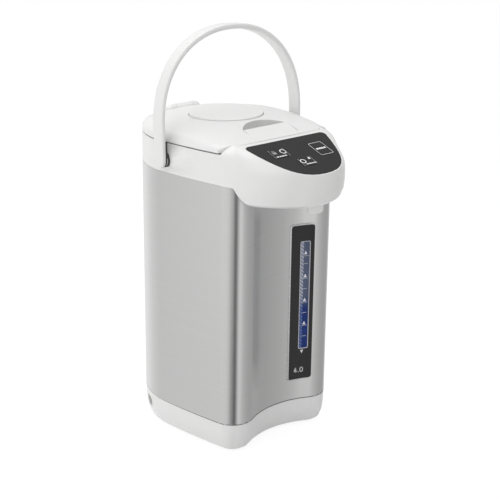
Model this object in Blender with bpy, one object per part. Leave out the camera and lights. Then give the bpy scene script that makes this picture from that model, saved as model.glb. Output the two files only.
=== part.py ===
"""Electric hot water pot with a carrying bail, a hinged lid and a spout head.

The pot's axis is upright, the spout head faces -Y and the lid hinges at the back.
Every place below is measured from the pot's axis on the table. The empty
pot_centre then sets the whole pot so that its box is centred on the origin.
"""
import math

import bmesh
import bpy
from mathutils import Matrix, Vector

MM = 0.001

# Fits shared by many pieces
touch_gap = 0.3 * MM
slide_gap = 0.4 * MM
cut_over = 4.0 * MM
plastic_wall = 2.8 * MM
full_turn = 2 * math.pi
quarter_turn = math.pi / 2

# Steel body in plan: round back, long side arcs, tight front corners, hollow front
body_radius = 102.5 * MM
side_front_inset = 0.682 * MM
corner_radius = 27.0 * MM
front_hollow = 11.17 * MM
side_start = math.radians(4.1)
side_end = math.radians(10.0)
side_front = body_radius - side_front_inset
side_radius = (side_front - body_radius * math.sin(side_start)) / (math.sin(side_end) - math.sin(side_start))
side_offset = body_radius - side_radius
side_width = side_offset * math.cos(side_start) + side_radius * math.cos(side_end)
front_depth = side_front - corner_radius * math.sin(side_end) + front_hollow
back_steps = 12
side_steps = 3
corner_steps = 6
front_steps = 4

# Heights of the stack
foot_height = 1.5 * MM
base_top = 40.1 * MM
casing_bottom = base_top + touch_gap
casing_top = 353.6 * MM
housing_bottom = casing_top + touch_gap
ring_rise = 38.3 * MM
rim_top = casing_top + ring_rise
seam_width = 1.5 * MM
skirt_bottom = rim_top + seam_width
deck_drop = 8.9 * MM
deck_top = rim_top - deck_drop
casing_wall = 0.8 * MM

# Base
base_bottom = foot_height + touch_gap
base_foot_inset = 10.0 * MM
base_round_height = 25.0 * MM
base_top_inset = 0.5 * MM
base_round_steps = 3
lip_height = 7.0 * MM
lip_gap = 0.4 * MM
lip_wall = 2.0 * MM
plate_thickness = 2.5 * MM
foot_radius = 9.0 * MM
foot_side_inset = 40.5 * MM
foot_back_inset = 54.5 * MM
foot_front_inset = 22.3 * MM

# Power inlet low on the back of the side
inlet_angle = math.radians(158.0)
inlet_height = 23.5 * MM
inlet_width = 21.0 * MM
inlet_tall = 16.0 * MM
inlet_wall = 1.6 * MM
inlet_depth = 16.0 * MM
inlet_rim = 1.4 * MM
inlet_pin_radius = 1.6 * MM
inlet_pin_length = 9.0 * MM
inlet_pin_spacing = 8.0 * MM

# Inner pot, its heater and its seal
pot_room = 14.5 * MM
pot_radius = body_radius - pot_room
pot_wall = 1.0 * MM
pot_floor = 77.0 * MM
pot_floor_round = 9.0 * MM
pot_rim_rise = 17.4 * MM
pot_rim = casing_top + pot_rim_rise
pot_flange_reach = 5.0 * MM
pot_flange_radius = pot_radius + pot_flange_reach
pot_flange_thickness = 1.2 * MM
pot_steps = 30
gasket_height = 3.0 * MM
gasket_reach = 4.5 * MM
gasket_overlap = 2.5 * MM
mouth_step = 3.5 * MM
mouth_radius = pot_radius - mouth_step
drain_radius = 6.0 * MM
heater_inset = 36.0 * MM
heater_radius = pot_radius - heater_inset
heater_core_radius = 30.0 * MM
heater_thickness = 7.0 * MM
heater_place = 8.0 * MM
drain_room = 2.0 * MM
thermostat_radius = 8.5 * MM
thermostat_height = 9.0 * MM

# Pump, hoses and gauge tube
hose_radius = 4.5 * MM
hose_wall = 1.5 * MM
tube_radius = 5.0 * MM
tube_wall = 1.0 * MM
tube_setback = 9.5 * MM
tube_step = 8.0 * MM
tube_rise = 25.0 * MM
tube_bottom = 96.0 * MM
tube_top_drop = 61.6 * MM
tube_top = casing_top - tube_top_drop
drain_place = heater_place - heater_radius - drain_room - hose_radius - hose_wall
motor_radius = 14.0 * MM
motor_top = 34.0 * MM
pump_radius = 17.0 * MM
pump_height = 12.0 * MM
pump_neck_rise = 6.0 * MM
pump_neck_wall = 1.2 * MM
pump_neck_length = 9.0 * MM

# Power board in the base
power_place = 50.0 * MM
power_half_width = 40.0 * MM
power_half_length = 24.0 * MM
power_corner = 4.0 * MM
power_rise = 8.0 * MM
power_post_radius = 3.0 * MM
power_post_inset = 5.0 * MM
relay_place = 22.0 * MM
relay_half_width = 9.0 * MM
relay_half_length = 7.0 * MM
relay_height = 15.0 * MM
coil_place = -16.0 * MM
coil_half_width = 14.0 * MM
coil_half_length = 12.0 * MM
coil_height = 22.0 * MM
part_corner = 1.0 * MM

# Water gauge on the hollow front
gauge_left = 21.0 * MM
gauge_right = 51.0 * MM
gauge_low = 70.6 * MM
gauge_top_drop = 70.7 * MM
gauge_high = casing_top - gauge_top_drop
gauge_thickness = 1.6 * MM
gauge_corner = 3.0 * MM
window_left = 34.2 * MM
window_right = 46.6 * MM
window_low = 113.5 * MM
window_top_drop = 21.9 * MM
window_high = gauge_high - window_top_drop
window_corner = 1.6 * MM
window_lip = 1.4 * MM

# Spout head
head_reach = 91.18 * MM
head_tip = side_front + head_reach
head_hang = 21.2 * MM
head_bottom = casing_top - head_hang
head_side_handle = 33.0 * MM
head_front_handle = 52.0 * MM
head_shares = (0.07, 0.168, 0.2, 0.235, 0.28, 0.34, 0.42, 0.52, 0.63, 0.74, 0.84, 0.93, 1.0)
knee_share = 0.168
rim_share = 0.28
drop_end_share = 0.33
drop_power_share = 2.3
shoulder_share = 0.35
shoulder_roll_share = 0.45
head_bottom_round = 22.0 * MM
head_bottom_inset = 8.0 * MM
head_side_drop = 21.9 * MM
head_front_drop = 31.9 * MM
head_shoulder_steps = 4
head_bottom_steps = 3
rim_round = 0.8 * MM
rim_margin = 1.6 * MM
bow_share = 0.75

# Lid in plan
lid_corner_inset = 3.82 * MM
lid_corner_place = side_front - lid_corner_inset
lid_front_reach = 8.18 * MM
lid_front = side_front + lid_front_reach
lid_front_bow = 0.9 * MM
lid_front_inset = 24.55 * MM
lid_front_half = side_width - lid_front_inset
lid_bevel_inset = 17.05 * MM
lid_bevel_half = side_width - lid_bevel_inset
lid_bevel_reach = 1.68 * MM
lid_bevel_place = side_front + lid_bevel_reach
lid_gap = 0.6 * MM
lid_wall = 2.5 * MM

# Sloped control panel on the head
panel_slope = math.radians(20.0)
panel_setback = 6.4 * MM
panel_back = lid_front + panel_setback
panel_rise = 7.9 * MM
panel_back_height = rim_top + panel_rise
panel_half_width = 65.8 * MM
panel_straight = 7.0 * MM
panel_tip_inset = 3.1 * MM
panel_length = (head_tip - panel_back - panel_tip_inset) / math.cos(panel_slope)
panel_thickness = 1.2 * MM
panel_handle_shares = (0.786, 0.687, 0.597)
panel_corner = 6.0 * MM
panel_steps = 10
panel_floor = 2.5 * MM
knee_handle = 3.0 * MM
crest_rise = 10.2 * MM
head_crest = rim_top + crest_rise
key_rest_gap = 0.1 * MM
key_travel = 0.6 * MM
key_gap = 0.25 * MM
key_corner = 3.0 * MM
key_stem_radius = 2.0 * MM
key_places = ((-29.6 * MM, 24.0 * MM), (-5.4 * MM, 49.4 * MM), (33.8 * MM, 31.2 * MM))
key_sizes = ((26.0 * MM, 18.0 * MM), (22.6 * MM, 16.6 * MM), (22.6 * MM, 27.6 * MM))
board_thickness = 1.6 * MM
board_depth = 12.0 * MM
board_half_width = 45.0 * MM
board_half_length = 22.0 * MM
board_place = 34.0 * MM
board_corner = 14.0 * MM
board_post_radius = 3.0 * MM
board_post_inset = 8.0 * MM
switch_width = 6.0 * MM
switch_height = 3.6 * MM

# Nozzle under the head
spout_setback = 20.2 * MM
spout_place = head_tip - spout_setback
nozzle_half_width = 12.3 * MM
nozzle_half_depth = 8.8 * MM
nozzle_hang = 12.0 * MM
nozzle_bottom = head_bottom - nozzle_hang
nozzle_mouth_share = 0.93
nozzle_round = 3.0 * MM
nozzle_bore = 4.6 * MM
nozzle_collar = 2.2 * MM
cover_thickness = 2.4 * MM
cover_recess = 0.8 * MM
cover_room = 4.0 * MM
pipe_rise = 6.4 * MM
pipe_height = casing_top + pipe_rise
pipe_end_rise = 13.6 * MM
pipe_end = head_bottom + pipe_end_rise

# Lid in height: a soft band climbs from the skirt to a crease, then the crown follows
lid_skirt_height = 2.5 * MM
lid_front_rise = 8.9 * MM
lid_knee_rise = 8.6 * MM
lid_front_round = 1.0 * MM
band_place_shares = (-1.05, -0.93, -0.83, -0.73, -0.585, -0.39, -0.195, 0.0, 0.195, 0.39, 0.6, 1.0)
band_insets = tuple(inset * MM for inset in
                    (16.5, 15.0, 14.0, 11.5, 10.0, 9.5, 10.0, 9.0, 5.0, 2.4, 1.8, 1.6))
band_rises = tuple(rise * MM for rise in (9.1, 9.6, 10.1, 11.3, 12.6, 13.1, 13.6, 13.1, 11.6, 9.3, 8.2, 7.6))
band_across_share = 0.18
band_up_share = 0.72
band_steps = 3
crease_wall_share = 0.6
crown_rise = 19.8 * MM
crown_height = skirt_bottom + crown_rise
crown_tilt_share = 0.034
crown_steps = 4
crown_hollow_steps = 2
crown_side_share = 2.6
crown_front_share = 1.47

# Manual pump plate in the lid
plate_radius = 47.6 * MM
plate_gap = 0.7 * MM
plate_place = -7.8 * MM
plate_proud = 4.0 * MM
plate_top = crown_height + plate_proud
plate_crown = 1.0 * MM
plate_skin = 2.6 * MM
plate_skirt = 11.0 * MM
plate_edge_round = 1.5 * MM
well_wall = 2.0 * MM
bellows_radius = 34.0 * MM
bellows_fold = 4.0 * MM
bellows_folds = 3
bellows_wall = 1.2 * MM

# Lid liner that plugs the pot's mouth
liner_room = 5.5 * MM
liner_radius = mouth_radius - liner_room
liner_drop = 7.0 * MM
liner_bottom = deck_top - liner_drop
liner_rise = 3.4 * MM
liner_top = deck_top + liner_rise
liner_thickness = 2.0 * MM
seal_room = 1.1 * MM
lid_seal_radius = mouth_radius - seal_room
lid_seal_height = 3.0 * MM

# Finger recess and latch lever
recess_centre_inset = 4.4 * MM
recess_centre = recess_centre_inset - lid_front
recess_land = 5.9 * MM
recess_radius = plate_place - plate_radius - plate_gap - recess_land - recess_centre
recess_half_width = 36.0 * MM
recess_chord_inset = 29.0 * MM
recess_chord = recess_chord_inset - lid_front
recess_rise = 3.6 * MM
recess_floor = skirt_bottom + recess_rise
recess_wall = 1.8 * MM
recess_steps = 13
lever_inset = 6.0 * MM
lever_front = lever_inset - lid_front
lever_gap = 0.45 * MM
lever_thickness = 3.0 * MM
lever_front_rise = 10.4 * MM
lever_front_height = skirt_bottom + lever_front_rise
lever_back_rise = 16.9 * MM
lever_back_height = skirt_bottom + lever_back_rise
lever_round = 2.6 * MM
lever_round_steps = 8
lever_pin_radius = 1.0 * MM

# Rear hinge
hinge_inset = 22.5 * MM
hinge_place = body_radius - hinge_inset
hinge_rise = 12.2 * MM
hinge_height = skirt_bottom + hinge_rise
barrel_radius = 7.4 * MM
barrel_half = 13.0 * MM
lug_outer = 20.5 * MM
hinge_pin_radius = 2.2 * MM
hinge_seam = 1.0 * MM
hinge_seam_shift = 0.8 * MM
lid_back = hinge_place - hinge_seam_shift
cover_front = lid_back + hinge_seam

# Carrying bail
bail_reach = 13.7 * MM
bail_half_width = body_radius + bail_reach
bail_thickness = 6.2 * MM
bail_grip_thickness = 7.6 * MM
bail_width = 16.0 * MM
bail_pivot_rise = 18.4 * MM
bail_pivot_height = casing_top + bail_pivot_rise
bail_leg_rise = 41.9 * MM
bail_straight_top = bail_pivot_height + bail_leg_rise
bail_rise = 115.0 * MM
bail_curve_share = 2.16
bail_place = -18.0 * MM
bail_lean = math.radians(3.6)
bail_steps = 26
bail_edge = 2.0 * MM
stub_radius = 6.0 * MM
stub_gap = 0.4 * MM
boss_radius = 8.0 * MM
boss_length = 7.0 * MM
sleeve_length = 6.0 * MM
clip_thickness = 1.5 * MM

# Place of the pot's axis, so that the box of the whole pot is centred
pot_axis_place = (head_tip - body_radius) / 2


# Materials

def material(name, colour, roughness, metallic=0.0):
    """A plain Principled material"""
    made = bpy.data.materials.get(name)
    if made is None:
        made = bpy.data.materials.new(name)
        made.use_nodes = True
        shader = made.node_tree.nodes["Principled BSDF"]
        shader.inputs["Base Color"].default_value = (*colour, 1.0)
        shader.inputs["Roughness"].default_value = roughness
        shader.inputs["Metallic"].default_value = metallic
    return made


def white_plastic():
    return material("white_plastic", (0.86, 0.86, 0.86), 0.22)


def brushed_steel():
    return material("brushed_steel", (0.62, 0.62, 0.61), 0.3, 1.0)


def black_gloss():
    return material("black_gloss", (0.012, 0.012, 0.014), 0.08)


def dark_rubber():
    return material("dark_rubber", (0.05, 0.05, 0.05), 0.7)


def pale_silicone():
    return material("pale_silicone", (0.75, 0.75, 0.72), 0.5)


def grey_plastic():
    return material("grey_plastic", (0.3, 0.3, 0.31), 0.45)


def gauge_blue():
    return material("gauge_blue", (0.03, 0.12, 0.6), 0.08)


def board_green():
    return material("board_green", (0.02, 0.2, 0.08), 0.5)


def plain_brass():
    return material("plain_brass", (0.6, 0.45, 0.2), 0.3, 1.0)


# Objects

def clear_scene():
    """Start from an empty file"""
    for old in list(bpy.data.objects):
        bpy.data.objects.remove(old, do_unlink=True)


def pot_centre():
    """The empty that carries every piece"""
    centre = bpy.data.objects.get("pot_centre")
    if centre is None:
        centre = bpy.data.objects.new("pot_centre", None)
        centre.location = (0.0, pot_axis_place, 0.0)
        bpy.context.scene.collection.objects.link(centre)
    return centre


def place(name, bm, stuff, origin=(0.0, 0.0, 0.0)):
    """Make a named object from a bmesh, with its own origin"""
    bmesh.ops.recalc_face_normals(bm, faces=bm.faces)
    bmesh.ops.translate(bm, verts=bm.verts, vec=-Vector(origin))
    mesh = bpy.data.meshes.new(name)
    bm.to_mesh(mesh)
    bm.free()
    mesh.shade_smooth()
    mesh.set_sharp_from_angle(angle=math.radians(35.0))
    made = bpy.data.objects.new(name, mesh)
    bpy.context.scene.collection.objects.link(made)
    made.parent = pot_centre()
    made.location = origin
    if stuff is None:
        made.hide_render = True
        made.display_type = "WIRE"
    else:
        mesh.materials.append(stuff)
    return made


def boolean(target, tool, operation):
    """Add or take away another solid"""
    step = target.modifiers.new(tool.name, "BOOLEAN")
    step.operation = operation
    step.object = tool
    step.solver = "EXACT"


def cut(target, *tools):
    for tool in tools:
        boolean(target, tool, "DIFFERENCE")


def join(target, *tools):
    for tool in tools:
        boolean(target, tool, "UNION")


# Shapes

def arc(centre, radius, start, end, steps):
    """Points of an arc from one angle to another"""
    turn = (end - start) / steps
    return [(centre[0] + radius * math.cos(start + turn * i),
             centre[1] + radius * math.sin(start + turn * i)) for i in range(steps + 1)]


def bezier(p0, p1, p2, p3, share):
    """A point of a cubic curve"""
    back = 1 - share
    return tuple(back ** 3 * a + 3 * back ** 2 * share * b + 3 * back * share ** 2 * c + share ** 3 * d
                 for a, b, c, d in zip(p0, p1, p2, p3))


def smooth_step(share):
    """Ease from 0 to 1"""
    share = min(max(share, 0.0), 1.0)
    return share * share * (3 - 2 * share)


def mirrored(half):
    """Close a half outline that runs from back centre to front centre"""
    return half + [(-p[0], *p[1:]) for p in reversed(half[1:-1])]


def at_height(outline, height):
    return [(x, y, height) for x, y in outline]


def ladder_cap(bm, ring):
    """Close a mirrored loop with rungs from side to side"""
    count = len(ring)
    half = count // 2
    bm.faces.new((ring[0], ring[1], ring[count - 1]))
    for i in range(1, half - 1):
        bm.faces.new((ring[i], ring[i + 1], ring[count - i - 1], ring[count - i]))
    bm.faces.new((ring[half - 1], ring[half], ring[half + 1]))


def loft(loops, closed=False, ladder=False):
    """Skin through loops of equal length, capped at the ends or closed on itself"""
    bm = bmesh.new()
    rings = [[bm.verts.new(p) for p in loop] for loop in loops]
    pairs = list(zip(rings, rings[1:]))
    if closed:
        pairs.append((rings[-1], rings[0]))
    for low, high in pairs:
        for i in range(len(low)):
            j = (i + 1) % len(low)
            bm.faces.new((low[i], low[j], high[j], high[i]))
    if not closed:
        for ring in (rings[0], rings[-1]):
            if ladder:
                ladder_cap(bm, ring)
            else:
                bm.faces.new(ring)
    return bm


def prism(outline, low, high):
    """A straight block over a flat outline"""
    return loft([at_height(outline, low), at_height(outline, high)])


def ellipse(half_x, half_y, steps=24):
    turns = [full_turn * i / steps for i in range(steps)]
    return [(half_x * math.cos(t), half_y * math.sin(t)) for t in turns]


def rounded_box(half_x, half_y, corner, steps=3):
    """Outline of a rectangle with round corners"""
    points = []
    for quarter, (sx, sy) in enumerate(((1, 1), (-1, 1), (-1, -1), (1, -1))):
        centre = (sx * (half_x - corner), sy * (half_y - corner))
        points += arc(centre, corner, quarter * quarter_turn, (quarter + 1) * quarter_turn, steps)
    return points


def revolve(profile, centre=(0.0, 0.0), steps=40):
    """Turn a closed profile of radius and height about an upright axis"""
    bm = bmesh.new()
    rings = []
    for radius, height in profile:
        if radius == 0:
            rings.append([bm.verts.new((centre[0], centre[1], height))])
        else:
            rings.append([bm.verts.new((centre[0] + radius * math.cos(full_turn * i / steps),
                                        centre[1] + radius * math.sin(full_turn * i / steps),
                                        height)) for i in range(steps)])
    pairs = list(zip(rings, rings[1:]))
    if len(rings[0]) > 1:
        pairs.append((rings[-1], rings[0]))
    for low, high in pairs:
        for i in range(steps):
            j = (i + 1) % steps
            corners = [low[i % len(low)], low[j % len(low)], high[j % len(high)], high[i % len(high)]]
            corners = list(dict.fromkeys(corners))
            if len(corners) > 2:
                bm.faces.new(corners)
    return bm


def disc(radius, low, high, centre=(0.0, 0.0), steps=40):
    """Upright round block"""
    return prism(shifted(ellipse(radius, radius, steps), *centre), low, high)


def ring(inner, outer, low, high, centre=(0.0, 0.0), steps=40):
    return revolve([(inner, low), (outer, low), (outer, high), (inner, high)], centre, steps)


def rod_along_x(radius, start, end, place_y, height, steps=18):
    """A round bar parallel to X"""
    bm = disc(radius, start, end, steps=steps)
    turn = Matrix.Rotation(quarter_turn, 4, "Y")
    bmesh.ops.transform(bm, verts=bm.verts, matrix=Matrix.Translation((0.0, place_y, height)) @ turn)
    return bm


def pipe(points, radius, bore, sides=8):
    """A hose through a list of points, with its bore"""
    places = [Vector(p) for p in points]
    side = None
    outer = []
    inner = []
    for i, spot in enumerate(places):
        along = (places[min(i + 1, len(places) - 1)] - places[max(i - 1, 0)]).normalized()
        if side is None:
            side = along.orthogonal().normalized()
        side = (side - along * side.dot(along)).normalized()
        other = along.cross(side)
        turns = [full_turn * k / sides for k in range(sides)]
        outer.append([spot + (side * math.cos(t) + other * math.sin(t)) * radius for t in turns])
        inner.append([spot + (side * math.cos(t) + other * math.sin(t)) * bore for t in turns])
    return loft(outer + inner[::-1], closed=True)


def curve_points(route, steps=3):
    """Round a route of points off with short curves at its bends"""
    spots = [Vector(p) for p in route]
    points = [spots[0]]
    for before, bend, after in zip(spots, spots[1:], spots[2:]):
        start = bend.lerp(before, min(0.5, hose_radius * 2 / (before - bend).length))
        end = bend.lerp(after, min(0.5, hose_radius * 2 / (after - bend).length))
        for i in range(steps + 1):
            share = i / steps
            points.append(start.lerp(bend, share).lerp(bend.lerp(end, share), share))
    points.append(spots[-1])
    return points


# Plan outlines

def side_centre():
    return (side_offset * math.cos(side_start), -side_offset * math.sin(side_start))


def side_point(inset=0.0):
    """End of the side arc"""
    return (side_width - inset * math.cos(side_end), -side_front + inset * math.sin(side_end))


def corner_centre():
    spot = side_point()
    return (spot[0] - corner_radius * math.cos(side_end), spot[1] + corner_radius * math.sin(side_end))


def front_radius():
    """Radius of the hollow front arc that touches both corner arcs"""
    x, y = corner_centre()
    rise = y + front_depth
    return (x ** 2 + rise ** 2 - corner_radius ** 2) / (2 * (corner_radius - rise))


def front_centre():
    return (0.0, -front_depth - front_radius())


def side_half(inset):
    """Half plan from the back centre to the end of the side arc"""
    back = arc((0.0, 0.0), body_radius - inset, quarter_turn, -side_start, back_steps)
    side = arc(side_centre(), side_radius - inset, -side_start, -side_end, side_steps)
    return back + side[1:]


def body_outline(inset):
    """Whole plan of the steel body, drawn in by an inset"""
    corner = corner_centre()
    front = front_centre()
    lean = math.atan2(corner[1] - front[1], corner[0] - front[0])
    turn = lean - math.pi
    half = side_half(inset)
    half += arc(corner, corner_radius - inset, -side_end, turn, corner_steps)[1:]
    half += arc(front, front_radius() + inset, lean, quarter_turn, front_steps)[1:]
    return mirrored(half)


def offset_outline(outline, inset):
    """Draw a closed outline in along its own normals, by one inset or by one for each point"""
    insets = inset if isinstance(inset, list) else [inset] * len(outline)
    moved = []
    count = len(outline)
    for i in range(count):
        before = Vector(outline[i - 1][:2])
        after = Vector(outline[(i + 1) % count][:2])
        along = (after - before).normalized()
        inward = Vector((along.y, -along.x))
        moved.append((outline[i][0] + inward.x * insets[i], outline[i][1] + inward.y * insets[i]))
    return moved


def half_drawn_in(half, insets):
    """Half outline drawn in by an inset for each of its points"""
    return offset_outline(mirrored(half), insets + insets[-2:0:-1])[:len(half)]


def mix(start, end, share):
    """A point or a value between two"""
    if isinstance(start, tuple):
        return tuple(a + (b - a) * share for a, b in zip(start, end))
    return start + (end - start) * share


def top_plane(y):
    """Height of the head's sloped top at a place from back to front"""
    return panel_back_height + (y + panel_back) * math.tan(panel_slope)


# Spout head and housing

def head_curve(share):
    """A point of the head's wall, from the end of the side arc to the tip"""
    start = side_point()
    first = (start[0] - head_side_handle * math.sin(side_end),
             start[1] - head_side_handle * math.cos(side_end))
    return bezier(start, first, (head_front_handle, -head_tip), (0.0, -head_tip), share)


def panel_edge(share, grow=0.0):
    """A point of the panel's curved edge in the panel's frame, moved out by a margin"""
    side_across, side_along, front_across = panel_handle_shares
    curve = ((panel_half_width, -panel_straight),
             (panel_half_width * side_across, -panel_length * side_along),
             (panel_half_width * front_across, -panel_length), (0.0, -panel_length))
    step = 1 / (panel_steps * panel_steps)
    before = Vector(bezier(*curve, max(share - step, 0.0)))
    after = Vector(bezier(*curve, min(share + step, 1.0)))
    along = (after - before).normalized()
    spot = bezier(*curve, share)
    return (spot[0] - along.y * grow, spot[1] + along.x * grow)


def rim_point(share):
    """A point of the head's upper rim: beside the lid's corner, then round the panel"""
    start = (side_point(rim_round)[0], -lid_corner_place + rim_round, rim_top)
    knee = (lid_bevel_half, -lid_bevel_place, head_crest)
    if share <= knee_share:
        return mix(start, knee, share / knee_share)
    x, s = panel_edge(max((share - rim_share) / (1 - rim_share), 0.0), rim_margin)
    x, y = (x, -panel_back + s * math.cos(panel_slope))
    if share < rim_share:
        along = (share - knee_share) / (rim_share - knee_share)
        bend = (lid_bevel_half - knee_handle, -lid_front)
        x, y = mix(mix(knee[:2], bend, along), mix(bend, (x, y), along), along)
    return (x, y, min(top_plane(y), head_crest))


def head_drop(share):
    """How far the skirt's lower edge has come down from the ring to the head's bottom"""
    along = (share - knee_share) / (drop_end_share - knee_share)
    return 1 - (1 - min(max(along, 0.0), 1.0)) ** drop_power_share


def shoulder_start(share):
    """Height at which the head's wall begins to roll over, and how much it rolls"""
    grow = smooth_step(share / shoulder_share)
    front = max(share - shoulder_share, 0.0) / (1 - shoulder_share)
    height = mix(rim_top - head_side_drop, rim_top - head_front_drop, front)
    return mix(rim_top - rim_round, height, grow), shoulder_roll_share * grow


def wall_half():
    """Half plan of the housing's wall"""
    return side_half(0.0) + [head_curve(share) for share in head_shares]


def foot_insets():
    """How far the housing's lower edge is drawn in at each point of its wall"""
    ring_insets = [rim_round] * (back_steps + side_steps + 1)
    return ring_insets + [mix(rim_round, head_bottom_inset, head_drop(share)) for share in head_shares]


def rim_half():
    """Half plan of the housing's upper rim, with heights"""
    ring_rim = [(x, y, rim_top) for x, y in side_half(rim_round)]
    return ring_rim + [rim_point(share) for share in head_shares]


def housing_columns():
    """For each plan point of the housing: foot, low wall, high wall, bend and rim"""
    shares = [0.0] * (back_steps + side_steps + 1) + list(head_shares)
    half = wall_half()
    columns = []
    for share, foot, wall, rim in zip(shares, half_drawn_in(half, foot_insets()), half, rim_half()):
        drop = head_drop(share)
        low = mix(housing_bottom, head_bottom, drop)
        high, roll = shoulder_start(share)
        columns.append(((*foot, low), (*wall, low + mix(rim_round, head_bottom_round, drop)),
                        (*wall, high), (*wall, mix(rim[2], high, roll)), rim))
    return columns


def shoulder_spot(wall, bend, rim, share):
    """A point of the curve that rolls from the wall to the rim"""
    return mix(mix(wall, bend, share), mix(bend, rim, share), share)


def housing_loops(columns):
    """Loops of the housing's skin with rounded lower and upper edges"""
    loops = []
    for i in range(head_bottom_steps + 1):
        turn = quarter_turn * i / head_bottom_steps
        across = math.sin(turn)
        up = 1 - math.cos(turn)
        loops.append(mirrored([(*mix(foot[:2], wall[:2], across), mix(foot[2], wall[2], up))
                               for foot, wall, *_ in columns]))
    for i in range(head_shoulder_steps + 1):
        share = i / head_shoulder_steps
        loops.append(mirrored([shoulder_spot(*column[2:], share) for column in columns]))
    return loops


def housing_hollow(columns):
    """The room inside the head and the ring, open below, with a wall behind the lid's room"""
    foot = half_drawn_in(wall_half(), [inset + plastic_wall for inset in foot_insets()])
    wall = half_drawn_in(wall_half(), [plastic_wall] * len(columns))
    rim = half_drawn_in([c[4][:2] for c in columns], [plastic_wall + rim_round] * len(columns))
    ring_top = deck_top - plastic_wall
    wall_low = head_bottom + head_bottom_round
    panel_room = panel_thickness + touch_gap + panel_floor
    limit = -lid_front - lid_gap - plastic_wall
    upper = []
    for spot, edge, column in zip(wall, rim, columns):
        if spot[1] > limit:
            upper.append([(*spot, mix(wall_low, ring_top, share)) for share in (1 / 3, 2 / 3, 1.0)])
            continue
        reach = (limit - spot[1]) / (edge[1] - spot[1]) if edge[1] > limit else 1.0
        rows = []
        for part in (0.0, 1 / 2, 1.0):
            along = part * math.sqrt(reach)
            height = shoulder_spot(*column[2:], along)[2] - plastic_wall
            x, y = mix(spot, edge, along * along)
            rows.append((x, y, min(height, top_plane(y) - panel_room)))
        upper.append(rows)
    loops = [at_height(foot, head_bottom - cut_over), at_height(foot, head_bottom + cover_room),
             at_height(wall, wall_low)]
    loops += [[rows[i] for rows in upper] for i in range(3)]
    return [mirrored(loop) for loop in loops]


def lid_outline(side_inset, front_grow):
    """Plan of the lid: the body's sides, bevelled front corners and a straight front"""
    half = [p for p in side_half(side_inset) if p[1] > -lid_corner_place + corner_radius / 2]
    half.append((side_point(side_inset)[0], -lid_corner_place))
    half.append((lid_bevel_half - side_inset / 2, -lid_bevel_place - front_grow))
    half.append((lid_front_half, -lid_front - front_grow))
    half.append((lid_front_half / 2, -lid_front - lid_front_bow * bow_share - front_grow))
    half.append((0.0, -lid_front - lid_front_bow - front_grow))
    return mirrored(half)


def panel_frame():
    """Frame of the panel: X across, Y up the slope, Z out of it"""
    spot = Matrix.Translation((0.0, -panel_back, panel_back_height))
    return spot @ Matrix.Rotation(panel_slope, 4, "X")


def on_panel(bm):
    bmesh.ops.transform(bm, verts=bm.verts, matrix=panel_frame())
    return bm


def panel_outline(inset):
    """Plan of the panel in its own frame, straight at the back and round in front"""
    half = [(0.0, 0.0), (panel_half_width / 2, 0.0)]
    half += arc((panel_half_width - panel_corner, -panel_corner), panel_corner, quarter_turn, 0.0, 3)
    half += [panel_edge(i / panel_steps) for i in range(1, panel_steps + 1)]
    return offset_outline(mirrored(half), inset)


def key_outline(size, grow):
    return rounded_box(size[0] / 2 + grow, size[1] / 2 + grow, key_corner + grow)


def shifted(outline, dx, dy):
    return [(x + dx, y + dy) for x, y in outline]


def make_housing():
    """The white ring and spout head in one moulding"""
    columns = housing_columns()
    housing = place("top_housing", loft(housing_loops(columns), ladder=True), white_plastic(),
                    (0.0, 0.0, housing_bottom))
    hollow = place("housing_hollow", loft(housing_hollow(columns), ladder=True), None)
    pocket = place("lid_pocket", prism(lid_outline(plastic_wall, lid_gap), deck_top, rim_top * 2), None)
    collar = place("mouth_collar", ring(mouth_radius - plastic_wall, mouth_radius + plastic_wall,
                                        pot_rim + pot_flange_thickness + gasket_height + 2 * touch_gap,
                                        deck_top - plastic_wall / 2, steps=pot_steps), None)
    mouth = place("mouth_bore", disc(mouth_radius, pot_floor, deck_top + cut_over, steps=pot_steps), None)
    shell = place("casing_room", prism(body_outline(-touch_gap), 0.0, housing_bottom), None)
    cut(housing, hollow)
    join(housing, collar)
    lid_room = place("lid_room", prism(lid_outline(-lid_gap, lid_gap), rim_top, rim_top * 2), None)
    cut(housing, pocket, lid_room, mouth, shell)
    add_bail_bosses(housing)
    add_panel_seat(housing)
    return housing


def add_bail_bosses(housing):
    """Boss outside and sleeve inside each wall for the bail's stubs"""
    for side in (-1, 1):
        start = side * (body_radius - sleeve_length)
        end = side * (body_radius + boss_length)
        boss = place(f"bail_boss_{side}", rod_along_x(boss_radius, start, end, bail_place,
                                                      bail_pivot_height), None)
        hole = place(f"bail_hole_{side}", rod_along_x(stub_radius + stub_gap, side * mouth_radius,
                                                      end + side * cut_over, bail_place,
                                                      bail_pivot_height), None)
        join(housing, boss)
        cut(housing, hole)


def add_panel_seat(housing):
    """Shallow seat for the control panel, with a hole under each key's stem"""
    seat = place("panel_seat", on_panel(prism(panel_outline(-touch_gap), -panel_thickness - touch_gap,
                                              cut_over)), None)
    cut(housing, seat)
    for i, (x, s) in enumerate(key_places):
        hole = disc(key_stem_radius + slide_gap, -board_depth, cut_over, (x, -s), 16)
        cut(housing, place(f"stem_hole_{i}", on_panel(hole), None))


def make_head_cover():
    """Plate that closes the head below, in front of the casing's corners"""
    insets = [inset + plastic_wall + touch_gap for inset in foot_insets()]
    inner = half_drawn_in(wall_half(), insets)
    front = [spot for spot, share in zip(inner[-len(head_shares):], head_shares) if share > drop_end_share]
    low = head_bottom + cover_recess
    outline = mirrored([(0.0, corner_centre()[1]), corner_centre()] + front)
    plate = place("head_cover", prism(outline, low, low + cover_thickness), white_plastic(),
                  (0.0, -spout_place, low))
    body = place("casing_cut", prism(body_outline(-slide_gap - plastic_wall / 2), 0.0, housing_bottom), None)
    hole = place("nozzle_cut", nozzle_block(touch_gap, low + cut_over), None)
    cut(plate, body, hole)
    return plate


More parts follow.
